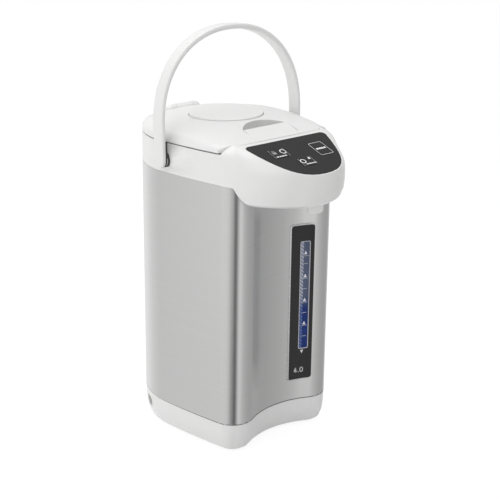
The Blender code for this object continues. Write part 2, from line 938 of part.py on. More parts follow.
def nozzle_block(grow, high):
    """Oval block with a rounded lower edge, a little narrower below"""
    loops = []
    rounds = [(nozzle_round * (1 - math.sin(turn)), nozzle_round * (1 - math.cos(turn)))
              for turn in (quarter_turn * i / 3 for i in range(4))]
    for inset, rise in rounds:
        loops.append((nozzle_mouth_share, inset, nozzle_bottom + rise))
    loops.append((1.0, 0.0, high))
    return loft([[(x, y - spout_place, height) for x, y in
                  ellipse(nozzle_half_width * share - inset + grow, nozzle_half_depth * share - inset + grow)]
                 for share, inset, height in loops])


def make_nozzle():
    low = head_bottom + cover_recess
    nozzle = place("spout_nozzle", nozzle_block(0.0, low + cover_thickness), white_plastic(),
                   (0.0, -spout_place, nozzle_bottom))
    neck_radius = nozzle_bore + nozzle_collar
    neck = place("nozzle_neck", disc(neck_radius, low + touch_gap, pipe_end - touch_gap,
                                     (0.0, -spout_place), 20), None)
    bore = place("nozzle_bore", disc(nozzle_bore, nozzle_bottom - cut_over, pipe_height,
                                     (0.0, -spout_place), 20), None)
    join(nozzle, neck)
    cut(nozzle, bore)
    return nozzle


def make_panel():
    panel = place("control_panel", on_panel(prism(panel_outline(0.0), -panel_thickness, 0.0)),
                  black_gloss(), (0.0, -panel_back, panel_back_height))
    for i, ((x, s), size) in enumerate(zip(key_places, key_sizes)):
        hole = prism(shifted(key_outline(size, key_gap), x, -s), -cut_over, cut_over)
        cut(panel, place(f"key_hole_{i + 1}", on_panel(hole), None))
    return panel


def make_keys():
    """Three keys in the panel, each with a stem down to its switch"""
    for i, ((x, s), size) in enumerate(zip(key_places, key_sizes)):
        pad = prism(shifted(key_outline(size, 0.0), x, -s), key_travel - panel_thickness, touch_gap)
        spot = panel_frame() @ Vector((x, -s, 0.0))
        key = place(f"key_{i + 1}", on_panel(pad), black_gloss(), spot)
        stem_low = key_travel + key_rest_gap + switch_height - board_depth
        stem = disc(key_stem_radius, stem_low, 0.0, (x, -s), 16)
        join(key, place(f"key_stem_{i + 1}", on_panel(stem), None))


def make_board():
    """Key board on four posts under the panel's seat, with a switch under each key"""
    outline = shifted(rounded_box(board_half_width, board_half_length, board_corner), 0.0, -board_place)
    board = place("switch_board", on_panel(prism(outline, -board_depth - board_thickness, -board_depth)),
                  board_green(), panel_frame() @ Vector((0.0, 0.0, -board_depth)))
    post_top = -(panel_thickness + touch_gap + panel_floor) * math.cos(panel_slope) - touch_gap
    post_x = board_half_width - board_post_inset
    post_y = board_half_length - board_post_inset
    for i, (sx, sy) in enumerate(((1, 1), (-1, 1), (-1, -1), (1, -1))):
        post = disc(board_post_radius, -board_depth - board_thickness / 2, post_top,
                    (sx * post_x, sy * post_y - board_place), 12)
        join(board, place(f"board_post_{i}", on_panel(post), None))
    for i, (x, s) in enumerate(key_places):
        half = switch_width / 2
        body = prism(shifted(rounded_box(half, half, touch_gap), x, -s), -board_depth + touch_gap / 2,
                     -board_depth + switch_height)
        place(f"switch_{i + 1}", on_panel(body), grey_plastic(),
              panel_frame() @ Vector((x, -s, -board_depth)))
    return board


# Base

def base_loops():
    """Outer insets and heights of the base from its foot up"""
    rows = []
    drawn = base_foot_inset - base_top_inset
    for i in range(base_round_steps + 1):
        turn = quarter_turn * i / base_round_steps
        rows.append((base_foot_inset - drawn * math.sin(turn),
                     base_bottom + base_round_height * (1 - math.cos(turn))))
    return rows


def make_base():
    """Lower moulding: rounded under edge, lip inside the casing, open below"""
    rows = base_loops()
    lip_out = casing_wall + lip_gap
    lip_in = lip_out + lip_wall
    rows += [(base_top_inset, base_top), (lip_out, base_top), (lip_out, base_top + lip_height),
             (lip_in, base_top + lip_height), (lip_in, base_bottom + base_round_height)]
    middle = (base_top_inset + base_foot_inset) / 2
    rows += [(middle + plastic_wall / 2, base_bottom + base_round_height / 3),
             (base_foot_inset + plastic_wall, base_bottom)]
    loops = [at_height(body_outline(inset), height) for inset, height in rows]
    base = place("base_cover", loft(loops, closed=True), white_plastic(), (0.0, 0.0, base_bottom))
    cut(base, place("inlet_hole", inlet_block(touch_gap, -2 * inlet_depth, cut_over), None))
    return base


def inlet_frame():
    """Frame of the inlet: X across, Y up, Z out of the body"""
    spot = Vector((math.cos(inlet_angle), math.sin(inlet_angle), 0.0)) * (body_radius - base_top_inset)
    spot.z = inlet_height
    turn = Matrix.Rotation(inlet_angle + quarter_turn, 4, "Z") @ Matrix.Rotation(quarter_turn, 4, "X")
    return Matrix.Translation(spot) @ turn


def inlet_block(grow, low, high):
    """Oval block along the inlet's axis"""
    loops = []
    for depth in (low, high):
        oval = ellipse(inlet_width / 2 + grow, inlet_tall / 2 + grow)
        loops.append(at_height(oval, depth))
    bm = loft(loops)
    bmesh.ops.transform(bm, verts=bm.verts, matrix=inlet_frame())
    return bm


def make_inlet():
    """Oval cup with two pins"""
    cup = place("power_inlet", inlet_block(0.0, -inlet_depth, -inlet_rim), grey_plastic(),
                inlet_frame().translation)
    hollow = inlet_block(-inlet_wall, -inlet_depth + inlet_wall, cut_over)
    cut(cup, place("inlet_hollow", hollow, None))
    for i, side in enumerate((-1, 1)):
        pin = disc(inlet_pin_radius, -inlet_depth + inlet_wall + touch_gap,
                   -inlet_depth + inlet_wall + inlet_pin_length,
                   (side * inlet_pin_spacing / 2, 0.0), 12)
        bmesh.ops.transform(pin, verts=pin.verts, matrix=inlet_frame())
        place(f"inlet_pin_{i + 1}", pin, plain_brass(), inlet_frame().translation)


def make_floor():
    """Plate that closes the base, with four rubber feet"""
    inset = base_foot_inset + plastic_wall + touch_gap
    plate = place("bottom_plate", prism(body_outline(inset), base_bottom, base_bottom + plate_thickness),
                  grey_plastic(), (0.0, 0.0, base_bottom))
    side = body_radius - foot_side_inset
    back = body_radius - foot_back_inset
    front = foot_front_inset - front_depth
    spots = ((side, back), (-side, back), (side, front), (-side, front))
    for i, spot in enumerate(spots):
        place(f"foot_{i + 1}", disc(foot_radius, 0.0, foot_height, spot, 18), dark_rubber(),
              (*spot, 0.0))
    return plate


# Casing and gauge

def make_casing():
    """Thin steel wrap with a slot behind the gauge window"""
    loops = [at_height(body_outline(0.0), casing_bottom), at_height(body_outline(0.0), casing_top),
             at_height(body_outline(casing_wall), casing_top),
             at_height(body_outline(casing_wall), casing_bottom)]
    casing = place("steel_casing", loft(loops, closed=True), brushed_steel(), (0.0, 0.0, casing_bottom))
    cut(casing, place("casing_slot", window_block(2 * touch_gap, front_depth * 2), None))
    return casing


def window_block(grow, depth):
    """Upright slot of the gauge window, running from front to back"""
    middle = (window_left + window_right) / 2
    height = (window_low + window_high) / 2
    outline = rounded_box((window_right - window_left) / 2 + grow, (window_high - window_low) / 2 + grow,
                          window_corner)
    bm = prism(shifted(outline, middle, height), pot_radius, depth)
    bmesh.ops.transform(bm, verts=bm.verts, matrix=Matrix.Rotation(quarter_turn, 4, "X"))
    return bm


def front_sheet(inner, outer, left, right, low, high, steps=8):
    """Piece of a sheet that follows the hollow front"""
    centre = front_centre()
    first = math.acos(left / front_radius())
    last = math.acos(right / front_radius())
    near = arc(centre, front_radius() + inner, first, last, steps)
    far = arc(centre, front_radius() + outer, last, first, steps)
    return prism(near + far, low, high)


def gauge_mask(left, right, low, high, corner):
    outline = rounded_box((right - left) / 2, (high - low) / 2, corner)
    bm = prism(shifted(outline, (left + right) / 2, (low + high) / 2), pot_radius, front_depth * 2)
    bmesh.ops.transform(bm, verts=bm.verts, matrix=Matrix.Rotation(quarter_turn, 4, "X"))
    return bm


def make_gauge():
    """Curved gauge plate, its clear window and the tube behind it"""
    spot = (0.0, -front_depth, gauge_low)
    plate = place("gauge_plate", front_sheet(-touch_gap, -touch_gap - gauge_thickness,
                                             gauge_left - cut_over, gauge_right + cut_over,
                                             gauge_low - cut_over, gauge_high + cut_over),
                  black_gloss(), spot)
    boolean(plate, place("gauge_mask", gauge_mask(gauge_left, gauge_right, gauge_low, gauge_high,
                                                  gauge_corner), None), "INTERSECT")
    cut(plate, place("gauge_slot", window_block(touch_gap, front_depth * 2), None))
    window = place("gauge_window", front_sheet(casing_wall + window_lip, -touch_gap - gauge_thickness / 2,
                                               gauge_left, gauge_right, gauge_low, gauge_high),
                   gauge_blue(), spot)
    boolean(window, place("window_mask", window_block(0.0, front_depth * 2), None), "INTERSECT")


def gauge_axis():
    """Plan place of the gauge tube"""
    middle = (window_left + window_right) / 2
    centre = front_centre()
    wall = centre[1] + math.sqrt(front_radius() ** 2 - middle ** 2)
    return (middle, wall + tube_setback)


def make_tubes():
    x, y = gauge_axis()
    place("gauge_tube", ring(tube_radius - tube_wall, tube_radius, tube_bottom, tube_top, (x, y), 20),
          material("clear_tube", (0.8, 0.85, 0.9), 0.05), (x, y, tube_bottom))
    start = (x, y, tube_top + touch_gap)
    route = [start, (x, y, tube_top + tube_rise / 2), (x, y + tube_step, tube_top + tube_rise),
             (x, y + tube_step, pipe_height),
             (0.0, -spout_place, pipe_height), (0.0, -spout_place, pipe_end)]
    place("outlet_pipe", pipe(curve_points(route), hose_radius, hose_radius - hose_wall),
          pale_silicone(), start)


def make_pump():
    """Pump on its motor under the drain, with a hose in and a hose out to the gauge tube"""
    centre = (0.0, drain_place)
    motor_low = base_bottom + plate_thickness + touch_gap
    place("pump_motor", disc(motor_radius, motor_low, motor_top, centre, 20), brushed_steel(),
          (*centre, motor_low))
    low = motor_top + touch_gap
    high = low + pump_height
    neck = hose_radius - hose_wall + pump_neck_wall
    pump = place("water_pump", disc(pump_radius, low, high, centre, 20), grey_plastic(), (*centre, low))
    neck_top = high + pump_neck_rise
    up = place("pump_neck_up", disc(neck, high - pump_neck_wall, neck_top, centre, 16), None)
    middle = (low + high) / 2
    end = pump_radius + pump_neck_length
    out = place("pump_neck_out", rod_along_x(neck, pump_radius / 2, end, drain_place, middle, 16), None)
    join(pump, up, out)
    bore_up = disc(hose_radius - hose_wall, high + pump_neck_wall, neck_top + cut_over, centre, 16)
    bore_out = rod_along_x(hose_radius - hose_wall, pump_radius + pump_neck_wall, end + cut_over,
                           drain_place, middle, 16)
    cut(pump, place("pump_bore_up", bore_up, None), place("pump_bore_out", bore_out, None))
    place("drain_hose", ring(neck + touch_gap, neck + touch_gap + hose_wall, high + touch_gap,
                             pot_floor - touch_gap, centre, 16), pale_silicone(), (*centre, high))
    x, y = gauge_axis()
    start = (end + touch_gap, drain_place, middle)
    route = [start, (x, drain_place, middle), (x, y, (middle + tube_bottom) / 2),
             (x, y, tube_bottom - touch_gap)]
    place("gauge_hose", pipe(curve_points(route), hose_radius, hose_radius - hose_wall),
          pale_silicone(), start)


def make_power_board():
    """Board on four posts in the base, with a relay and a coil"""
    floor_top = base_bottom + plate_thickness
    low = floor_top + power_rise
    high = low + board_thickness
    outline = shifted(rounded_box(power_half_width, power_half_length, power_corner), 0.0, power_place)
    board = place("power_board", prism(outline, low, high), board_green(), (0.0, power_place, low))
    post_x = power_half_width - power_post_inset
    post_y = power_half_length - power_post_inset
    for i, (sx, sy) in enumerate(((1, 1), (-1, 1), (-1, -1), (1, -1))):
        post = disc(power_post_radius, floor_top + touch_gap, low + board_thickness / 2,
                    (sx * post_x, power_place + sy * post_y), 12)
        join(board, place(f"power_post_{i}", post, None))
    blocks = (("relay", relay_place, relay_half_width, relay_half_length, relay_height, grey_plastic()),
              ("coil", coil_place, coil_half_width, coil_half_length, coil_height, plain_brass()))
    for name, across, half_x, half_y, tall, stuff in blocks:
        outline = shifted(rounded_box(half_x, half_y, part_corner, 2), across, power_place)
        place(name, prism(outline, high + touch_gap, high + touch_gap + tall), stuff,
              (across, power_place, high))


# Inner pot

def make_pot():
    """Straight pot with a rounded floor and a flat flange"""
    outer = pot_radius + pot_wall
    round_low = arc((outer - pot_floor_round, pot_floor + pot_floor_round), pot_floor_round,
                    -quarter_turn, 0.0, 4)
    inner_round = pot_floor_round - pot_wall
    round_in = arc((outer - pot_floor_round, pot_floor + pot_floor_round), inner_round,
                   0.0, -quarter_turn, 4)
    profile = [(0.0, pot_floor)] + round_low
    profile += [(outer, pot_rim), (pot_flange_radius, pot_rim),
                (pot_flange_radius, pot_rim + pot_flange_thickness),
                (pot_radius, pot_rim + pot_flange_thickness)]
    profile += round_in + [(0.0, pot_floor + pot_wall)]
    pot = place("inner_pot", revolve(profile, steps=pot_steps), brushed_steel(), (0.0, 0.0, pot_floor))
    drain = disc(drain_radius, pot_floor - cut_over, pot_floor + cut_over, (0.0, drain_place), 20)
    cut(pot, place("pot_drain", drain, None))
    low = pot_rim + pot_flange_thickness + touch_gap
    place("pot_gasket", ring(pot_radius - gasket_overlap, pot_radius + gasket_reach, low, low + gasket_height,
                             steps=pot_steps),
          pale_silicone(), (0.0, 0.0, low))
    return pot


def make_heater():
    """Ring heater pressed under the floor, with its thermostat"""
    top = pot_floor - touch_gap
    place("heater_plate", ring(heater_core_radius, heater_radius, top - heater_thickness, top,
                               (0.0, heater_place), pot_steps),
          material("cast_heater", (0.5, 0.5, 0.5), 0.5, 1.0), (0.0, heater_place, top))
    place("thermostat", disc(thermostat_radius, top - thermostat_height, top, (0.0, heater_place), 20),
          grey_plastic(), (0.0, heater_place, top))


# Lid

def table_value(places, values, place):
    """Value between two rows of a table"""
    for i in range(1, len(places)):
        if place <= places[i] or i == len(places) - 1:
            share = (place - places[i - 1]) / (places[i] - places[i - 1])
            return mix(values[i - 1], values[i], min(max(share, 0.0), 1.0))


def lid_column(outer):
    """Of one lid column: inset and height of the crease, foot of the band, power of the crown"""
    x, y = outer
    forward = smooth_step((-y - body_radius / 3) / (lid_front - body_radius / 3))
    power = mix(crown_side_share, crown_front_share, forward)
    if y > -lid_corner_place - touch_gap:
        inset = table_value(band_place_shares, band_insets, y / body_radius)
        height = skirt_bottom + table_value(band_place_shares, band_rises, y / body_radius)
        return inset, height, skirt_bottom + lid_skirt_height, power
    rise = mix(lid_front_rise, lid_knee_rise, smooth_step(abs(x) / lid_bevel_half))
    height = skirt_bottom + rise
    return lid_front_round, height, height - lid_front_round, power


def lid_creases(extra):
    """Plan of the crease, drawn in further by an extra inset"""
    outline = lid_outline(0.0, 0.0)
    insets = [lid_column(spot)[0] + extra for spot in outline]
    inward = offset_outline(outline, insets)
    creases = []
    for (x, y), straight, inset in zip(outline, inward, insets):
        if -lid_corner_place - touch_gap < y < 0:
            creases.append((x - math.copysign(inset, x), y))
        else:
            creases.append(straight)
    return creases


def crown_target(outer):
    """Point on the pump plate's seat that a lid column runs to"""
    x, y = outer
    turn = math.atan2(y - plate_place, x)
    radius = plate_radius - well_wall
    return (radius * math.cos(turn), plate_place + radius * math.sin(turn))


def lid_loops(inset, drop, low, steps):
    """Loops of the lid's skin: skirt, band up to the crease, and crown"""
    plan = lid_outline(inset, -inset if inset else 0.0)
    creases = lid_creases(inset * crease_wall_share)
    columns = [lid_column(spot) for spot in lid_outline(0.0, 0.0)]
    loops = [at_height(plan, low)]
    for i in range(band_steps + 1):
        share = i / band_steps
        loop = []
        for spot, crease, (_, height, foot, _) in zip(plan, creases, columns):
            start = (*spot, foot - drop)
            end = (*crease, height - drop)
            bend = (*mix(spot, crease, band_across_share), mix(start[2], end[2], band_up_share))
            loop.append(shoulder_spot(start, bend, end, share))
        loops.append(loop)
    for i in range(1, steps + 1):
        share = i / steps
        loop = []
        for crease, (_, height, _, power) in zip(creases, columns):
            target = crown_target(crease)
            seat = crown_height - crown_tilt_share * (target[1] - plate_place)
            lift = 1 - (1 - share) ** power
            loop.append((*mix(crease, target, share), mix(height, seat, lift) - drop))
        loops.append(loop)
    return loops


def recess_outline(grow, lever_reach):
    """Plan of the finger recess: an arc behind and the lever's bay in front"""
    radius = recess_radius + grow
    start = math.asin((recess_chord - recess_centre) / recess_radius)
    half = arc((0.0, recess_centre), radius, start, math.pi - start, recess_steps)
    half_width = recess_half_width + grow
    return [(half_width, lever_reach), (half_width, recess_chord)] + half[1:-1] + [
        (-half_width, recess_chord), (-half_width, lever_reach)]


def make_lid():
    """Crowned lid with a pump well, a finger recess and a hinge barrel"""
    outer = lid_loops(0.0, 0.0, skirt_bottom, crown_steps)
    lid = place("lid_top", loft(outer, ladder=True), white_plastic(), (0.0, hinge_place, hinge_height))
    inner = lid_loops(lid_wall, lid_wall, deck_top, crown_hollow_steps)
    hollow = place("lid_hollow", loft(inner, ladder=True), None)
    centre = (0.0, plate_place)
    well_radius = plate_radius + plate_gap
    kept_well = place("kept_well", disc(well_radius + well_wall, deck_top - cut_over, plate_top * 2, centre),
                      None)
    cup = place("recess_cup", prism(recess_outline(recess_wall, -lid_front), recess_floor - recess_wall,
                                    plate_top * 2), None)
    cut(hollow, kept_well, cup)
    cut(lid, hollow)
    well = place("pump_well", disc(well_radius + well_wall - touch_gap, liner_top + touch_gap,
                                   skirt_bottom + lid_wall, centre), None)
    barrel = place("lid_barrel", rod_along_x(barrel_radius, -barrel_half, barrel_half, hinge_place,
                                             hinge_height), None)
    join(lid, well)
    bore = place("pump_bore", disc(well_radius, deck_top, plate_top + cut_over, centre), None)
    recess = place("recess_room", prism(recess_outline(0.0, lever_front), recess_floor,
                                        plate_top + cut_over), None)
    back = place("lid_back_cut", box_between((-body_radius, lid_back, deck_top),
                                             (body_radius, body_radius * 2, plate_top * 2)), None)
    cut(lid, bore, recess, back)
    for side in (-1, 1):
        lug_room = rod_along_x(barrel_radius + slide_gap, side * (barrel_half - touch_gap / 2),
                               side * (lug_outer + slide_gap), hinge_place, hinge_height)
        cut(lid, place(f"lug_room_{side}", lug_room, None))
    join(lid, barrel)
    pin_room = rod_along_x(hinge_pin_radius + touch_gap / 2, -lug_outer - cut_over, lug_outer + cut_over,
                           hinge_place, hinge_height)
    cut(lid, place("lid_pin_bore", pin_room, None))
    return lid


def box_between(low, high):
    """Block between two corners"""
    outline = [(low[0], low[1]), (high[0], low[1]), (high[0], high[1]), (low[0], high[1])]
    return prism(outline, low[2], high[2])


def make_liner():
    """Round plug under the lid that fills the pot's mouth"""
    rim = mouth_radius + plastic_wall
    profile = [(0.0, liner_bottom), (liner_radius - liner_thickness, liner_bottom),
               (liner_radius, liner_bottom + liner_thickness), (liner_radius, deck_top + slide_gap),
               (rim, deck_top + slide_gap), (rim, liner_top), (0.0, liner_top)]
    liner = place("lid_liner", revolve(profile, steps=pot_steps), white_plastic(), (0.0, 0.0, liner_bottom))
    back = box_between((-rim, hinge_place, liner_bottom), (rim, rim * 2, plate_top))
    cut(liner, place("liner_back_cut", back, None))
    low = deck_top + slide_gap - lid_seal_height - touch_gap
    place("lid_seal", ring(liner_radius + touch_gap, lid_seal_radius, low, low + lid_seal_height,
                           steps=pot_steps),
          pale_silicone(), (0.0, 0.0, low))
    return liner


def make_pump_plate():
    """Round plate that is pushed down into the lid to pump by hand"""
    centre = (0.0, plate_place)
    edge = plate_top - plate_crown
    low = edge - plate_skirt
    round_edge = arc((plate_radius - plate_edge_round, edge - plate_edge_round), plate_edge_round,
                     0.0, quarter_turn, 3)
    profile = [(0.0, edge - plate_skin), (plate_radius - plate_skin, edge - plate_skin),
               (plate_radius - plate_skin, low), (plate_radius, low)] + round_edge
    profile += [(plate_radius / 2, plate_top - plate_crown / 4), (0.0, plate_top)]
    place("pump_plate", revolve(profile, centre), white_plastic(), (0.0, plate_place, plate_top))
    low = liner_top + touch_gap
    high = edge - plate_skin - touch_gap
    steps = 2 * bellows_folds
    outer = []
    inner = []
    for i in range(steps + 1):
        radius = bellows_radius - (bellows_fold if i % 2 else 0.0)
        height = low + (high - low) * i / steps
        outer.append((radius, height))
        inner.append((radius - bellows_wall, height))
    place("pump_bellows", revolve(outer + inner[::-1], centre, 16), pale_silicone(),
          (0.0, plate_place, low))


def lever_axis():
    """Place and height of the lever's pin, at the centre of its round front edge"""
    return lever_front + lever_gap + lever_round, lever_front_height - lever_round


def along_x(profile, start, end):
    """Block with a side profile of Y and height, running along X"""
    return loft([[(x, y, z) for y, z in profile] for x in (start, end)])


def make_latch():
    """Lever over the front of the recess, with a round front edge that turns on a pin"""
    half = recess_half_width - lever_gap
    y, z = lever_axis()
    slope = (lever_back_height - lever_front_height) / (recess_chord - y)
    lean = math.atan(slope)
    profile = arc((y, z), lever_round, lean + quarter_turn, lean + 3 * quarter_turn, lever_round_steps)
    profile += [(recess_chord, lever_back_height - lever_thickness), (recess_chord, lever_back_height)]
    lever = place("latch_lever", along_x(profile, -half, half), white_plastic(), (0.0, y, z))
    bore = rod_along_x(lever_pin_radius + touch_gap, -recess_half_width, recess_half_width, y, z, 12)
    cut(lever, place("lever_bore", bore, None))
    pin_half = recess_half_width - touch_gap
    place("lever_pin", rod_along_x(lever_pin_radius, -pin_half, pin_half, y, z, 12), brushed_steel(),
          (0.0, y, z))


def make_hinge():
    """Hinge pin and the fixed cover behind the lid"""
    place("hinge_pin", rod_along_x(hinge_pin_radius, -lug_outer, lug_outer, hinge_place, hinge_height, 16),
          brushed_steel(), (0.0, hinge_place, hinge_height))
    outer = lid_loops(0.0, 0.0, rim_top + touch_gap, crown_steps)
    cover = place("hinge_cover", loft(outer, ladder=True), white_plastic(), (0.0, hinge_place, rim_top))
    far = body_radius * 2
    room = box_between((-far, -far, 0.0), (far, cover_front, plate_top * 2))
    cut(cover, place("cover_front_cut", room, None))
    room_half = barrel_half + slide_gap + touch_gap / 2
    barrel_room = rod_along_x(barrel_radius + slide_gap, -room_half, room_half, hinge_place, hinge_height)
    cut(cover, place("barrel_room", barrel_room, None))
    for side in (-1, 1):
        lug = rod_along_x(barrel_radius, side * (barrel_half + slide_gap), side * lug_outer,
                          hinge_place, hinge_height)
        join(cover, place(f"hinge_lug_{side}", lug, None))
    pin_room = rod_along_x(hinge_pin_radius + touch_gap / 2, -lug_outer - cut_over, lug_outer + cut_over,
                           hinge_place, hinge_height)
    cut(cover, place("cover_pin_bore", pin_room, None))
    return cover


# Carrying bail

def bail_path(half_width, rise, steps):
    """Front view of one edge of the bail: straight legs and a rounded arch"""
    points = [(-half_width, bail_pivot_height)]
    for i in range(steps + 1):
        turn = math.pi * i / steps
        across = math.cos(turn)
        up = math.sin(turn)
        x = -math.copysign(abs(across) ** (2 / bail_curve_share), across) * half_width
        z = bail_straight_top + rise * max(up, 0.0) ** (2 / bail_curve_share)
        points.append((x, z))
    points.append((half_width, bail_pivot_height))
    return points


def make_bail():
    """Flat strip bent to an arch, with a round end and a stub at each leg"""
    outer = bail_path(bail_half_width, bail_rise, bail_steps)
    inner = bail_path(bail_half_width - bail_thickness, bail_rise - bail_grip_thickness, bail_steps)
    half = bail_width / 2
    loops = []
    for (ox, oz), (ix, iz) in zip(outer, inner):
        dx = ox - ix
        dz = oz - iz
        size = math.hypot(dx, dz)
        ex = dx / size * bail_edge
        ez = dz / size * bail_edge
        loops.append([(ix, -half, iz), (ix, half, iz), (ox - ex, half, oz - ez),
                      (ox, half - bail_edge, oz), (ox, -half + bail_edge, oz), (ox - ex, -half, oz - ez)])
    bm = loft(loops)
    lean = Matrix.Translation((0.0, bail_place, bail_pivot_height)) @ Matrix.Rotation(-bail_lean, 4, "X")
    lean = lean @ Matrix.Translation((0.0, 0.0, -bail_pivot_height))
    bmesh.ops.transform(bm, verts=bm.verts, matrix=lean)
    bail = place("carry_handle", bm, white_plastic(), (0.0, bail_place, bail_pivot_height))
    inner_face = bail_half_width - bail_thickness
    for side in (-1, 1):
        end = rod_along_x(half, side * inner_face, side * bail_half_width, bail_place, bail_pivot_height, 24)
        stub = rod_along_x(stub_radius, side * (body_radius - sleeve_length - clip_thickness - 2 * touch_gap),
                           side * (bail_half_width - bail_edge), bail_place, bail_pivot_height, 18)
        join(bail, place(f"bail_end_{side}", end, None), place(f"bail_stub_{side}", stub, None))
    return bail


def make_all():
    clear_scene()
    make_base()
    make_inlet()
    make_floor()
    make_casing()
    make_gauge()
    make_tubes()
    make_pump()
    make_power_board()
    make_pot()
    make_heater()
    make_housing()
    make_head_cover()
    make_nozzle()
    make_panel()
    make_keys()
    make_board()
    make_lid()
    make_liner()
    make_pump_plate()
    make_latch()
    make_hinge()
    make_bail()


make_all()
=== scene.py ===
"""Looks of the electric hot water pot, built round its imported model"""

import math

import bmesh
import bpy
from mathutils import Matrix, Vector
from mathutils.bvhtree import BVHTree


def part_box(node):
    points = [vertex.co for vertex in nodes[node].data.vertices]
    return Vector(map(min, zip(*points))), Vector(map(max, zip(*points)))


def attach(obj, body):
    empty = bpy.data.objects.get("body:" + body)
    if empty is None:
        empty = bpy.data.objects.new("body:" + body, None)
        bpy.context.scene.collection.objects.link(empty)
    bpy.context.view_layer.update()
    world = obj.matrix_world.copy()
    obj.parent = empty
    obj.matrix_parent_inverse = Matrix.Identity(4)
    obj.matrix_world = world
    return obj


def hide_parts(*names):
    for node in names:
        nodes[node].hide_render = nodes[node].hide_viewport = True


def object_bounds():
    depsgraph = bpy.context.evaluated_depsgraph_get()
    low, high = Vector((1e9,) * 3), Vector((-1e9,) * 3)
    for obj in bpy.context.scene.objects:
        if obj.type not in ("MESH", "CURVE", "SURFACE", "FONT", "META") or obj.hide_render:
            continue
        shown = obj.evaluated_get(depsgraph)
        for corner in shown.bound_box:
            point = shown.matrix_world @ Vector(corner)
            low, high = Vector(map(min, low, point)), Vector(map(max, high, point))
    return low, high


MM = 0.001

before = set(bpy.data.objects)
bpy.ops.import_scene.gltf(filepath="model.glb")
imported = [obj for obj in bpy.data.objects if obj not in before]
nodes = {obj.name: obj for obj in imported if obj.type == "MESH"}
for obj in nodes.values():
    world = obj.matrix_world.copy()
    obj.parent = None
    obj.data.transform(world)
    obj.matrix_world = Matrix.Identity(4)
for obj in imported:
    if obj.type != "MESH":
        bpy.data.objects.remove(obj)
cad_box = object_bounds()

# The photograph's view, in the shared frame

view_side = math.radians(-42.01)
view_rise = math.radians(18.825)
view_roll = math.radians(0.675)
view_distance = 1688.7 * MM
view_target = Vector((50.8 * MM, 45.25 * MM, 216.1 * MM))
view_lens = 89.6
view_sensor = 36.0
view_near = 0.05
view_far = 50.0


def make_camera():
    """The camera, from its turn round the pot, its rise, its roll and its distance"""
    back = Vector((math.sin(view_side) * math.cos(view_rise),
                   -math.cos(view_side) * math.cos(view_rise),
                   math.sin(view_rise)))
    right = Vector((math.cos(view_side), math.sin(view_side), 0.0))
    up = back.cross(right)
    turned_right = right * math.cos(view_roll) + up * math.sin(view_roll)
    turned_up = back.cross(turned_right)
    place = view_target + back * view_distance
    data = bpy.data.cameras.new("photo_view")
    data.lens = view_lens
    data.sensor_width = view_sensor
    data.clip_start = view_near
    data.clip_end = view_far
    camera = bpy.data.objects.new("photo_view", data)
    columns = (turned_right, turned_up, back)
    camera.matrix_world = Matrix([[columns[k][i] for k in range(3)] + [place[i]] for i in range(3)]
                                 + [[0.0, 0.0, 0.0, 1.0]])
    bpy.context.scene.collection.objects.link(camera)
    bpy.context.scene.camera = camera


# Materials

def stuff(name, colour, roughness, metallic=0.0, **sockets):
    """A material with plain values on its shader, and its node tree at hand"""
    made = bpy.data.materials.new(name)
    made.use_nodes = True
    shader = made.node_tree.nodes["Principled BSDF"]
    shader.inputs["Base Color"].default_value = (*colour, 1.0)
    shader.inputs["Roughness"].default_value = roughness
    shader.inputs["Metallic"].default_value = metallic
    for socket, value in sockets.items():
        shader.inputs[socket.replace("_", " ").title().replace("Ior", "IOR")].default_value = value
    made.diffuse_color = (*colour, 1.0)
    return made


class Nodes:
    """Short calls for building a material's node tree"""

    def __init__(self, made):
        self.tree = made.node_tree
        self.shader = self.tree.nodes["Principled BSDF"]
        self.spot = self.tree.nodes.new("ShaderNodeTexCoord").outputs["Object"]

    def new(self, kind, inputs=None, **values):
        node = self.tree.nodes.new("ShaderNode" + kind)
        for key, value in values.items():
            setattr(node, key, value)
        for key, value in (inputs or {}).items():
            if isinstance(value, bpy.types.NodeSocket):
                self.tree.links.new(value, node.inputs[key])
            else:
                node.inputs[key].default_value = value
        return node

    def scaled(self, scale):
        return self.new("Mapping", {"Vector": self.spot, "Scale": scale}).outputs["Vector"]

    def noise(self, scale, detail=2.0, vector=None, roughness=0.5):
        made = self.new("TexNoise", {"Vector": vector or self.spot, "Scale": scale, "Detail": detail,
                                     "Roughness": roughness})
        return made.outputs["Fac"]

    def fit(self, value, low, high, start=0.3, end=0.7):
        made = self.new("MapRange", {"Value": value, "From Min": start, "From Max": end,
                                     "To Min": low, "To Max": high})
        return made.outputs["Result"]

    def math(self, operation, one, two=0.0):
        return self.new("Math", {0: one, 1: two}, operation=operation).outputs[0]

    def across_and_up(self):
        """The surface point's x and z"""
        made = self.new("SeparateXYZ", {0: self.spot})
        return made.outputs["X"], made.outputs["Z"]

    def blend(self, share, one, two):
        made = self.new("Mix", {0: share, 6: one, 7: two}, data_type="RGBA")
        return made.outputs[2]

    def link(self, value, socket):
        self.tree.links.new(value, self.shader.inputs[socket])

    def bump(self, height, depth, strength):
        made = self.new("Bump", {"Height": height, "Distance": depth, "Strength": strength})
        self.link(made.outputs["Normal"], "Normal")


def shade(tone, by=1.0, warmth=1.0):
    """A grey, scaled, with its blue scaled again"""
    return (tone * by, tone * by, tone * by * warmth, 1.0)


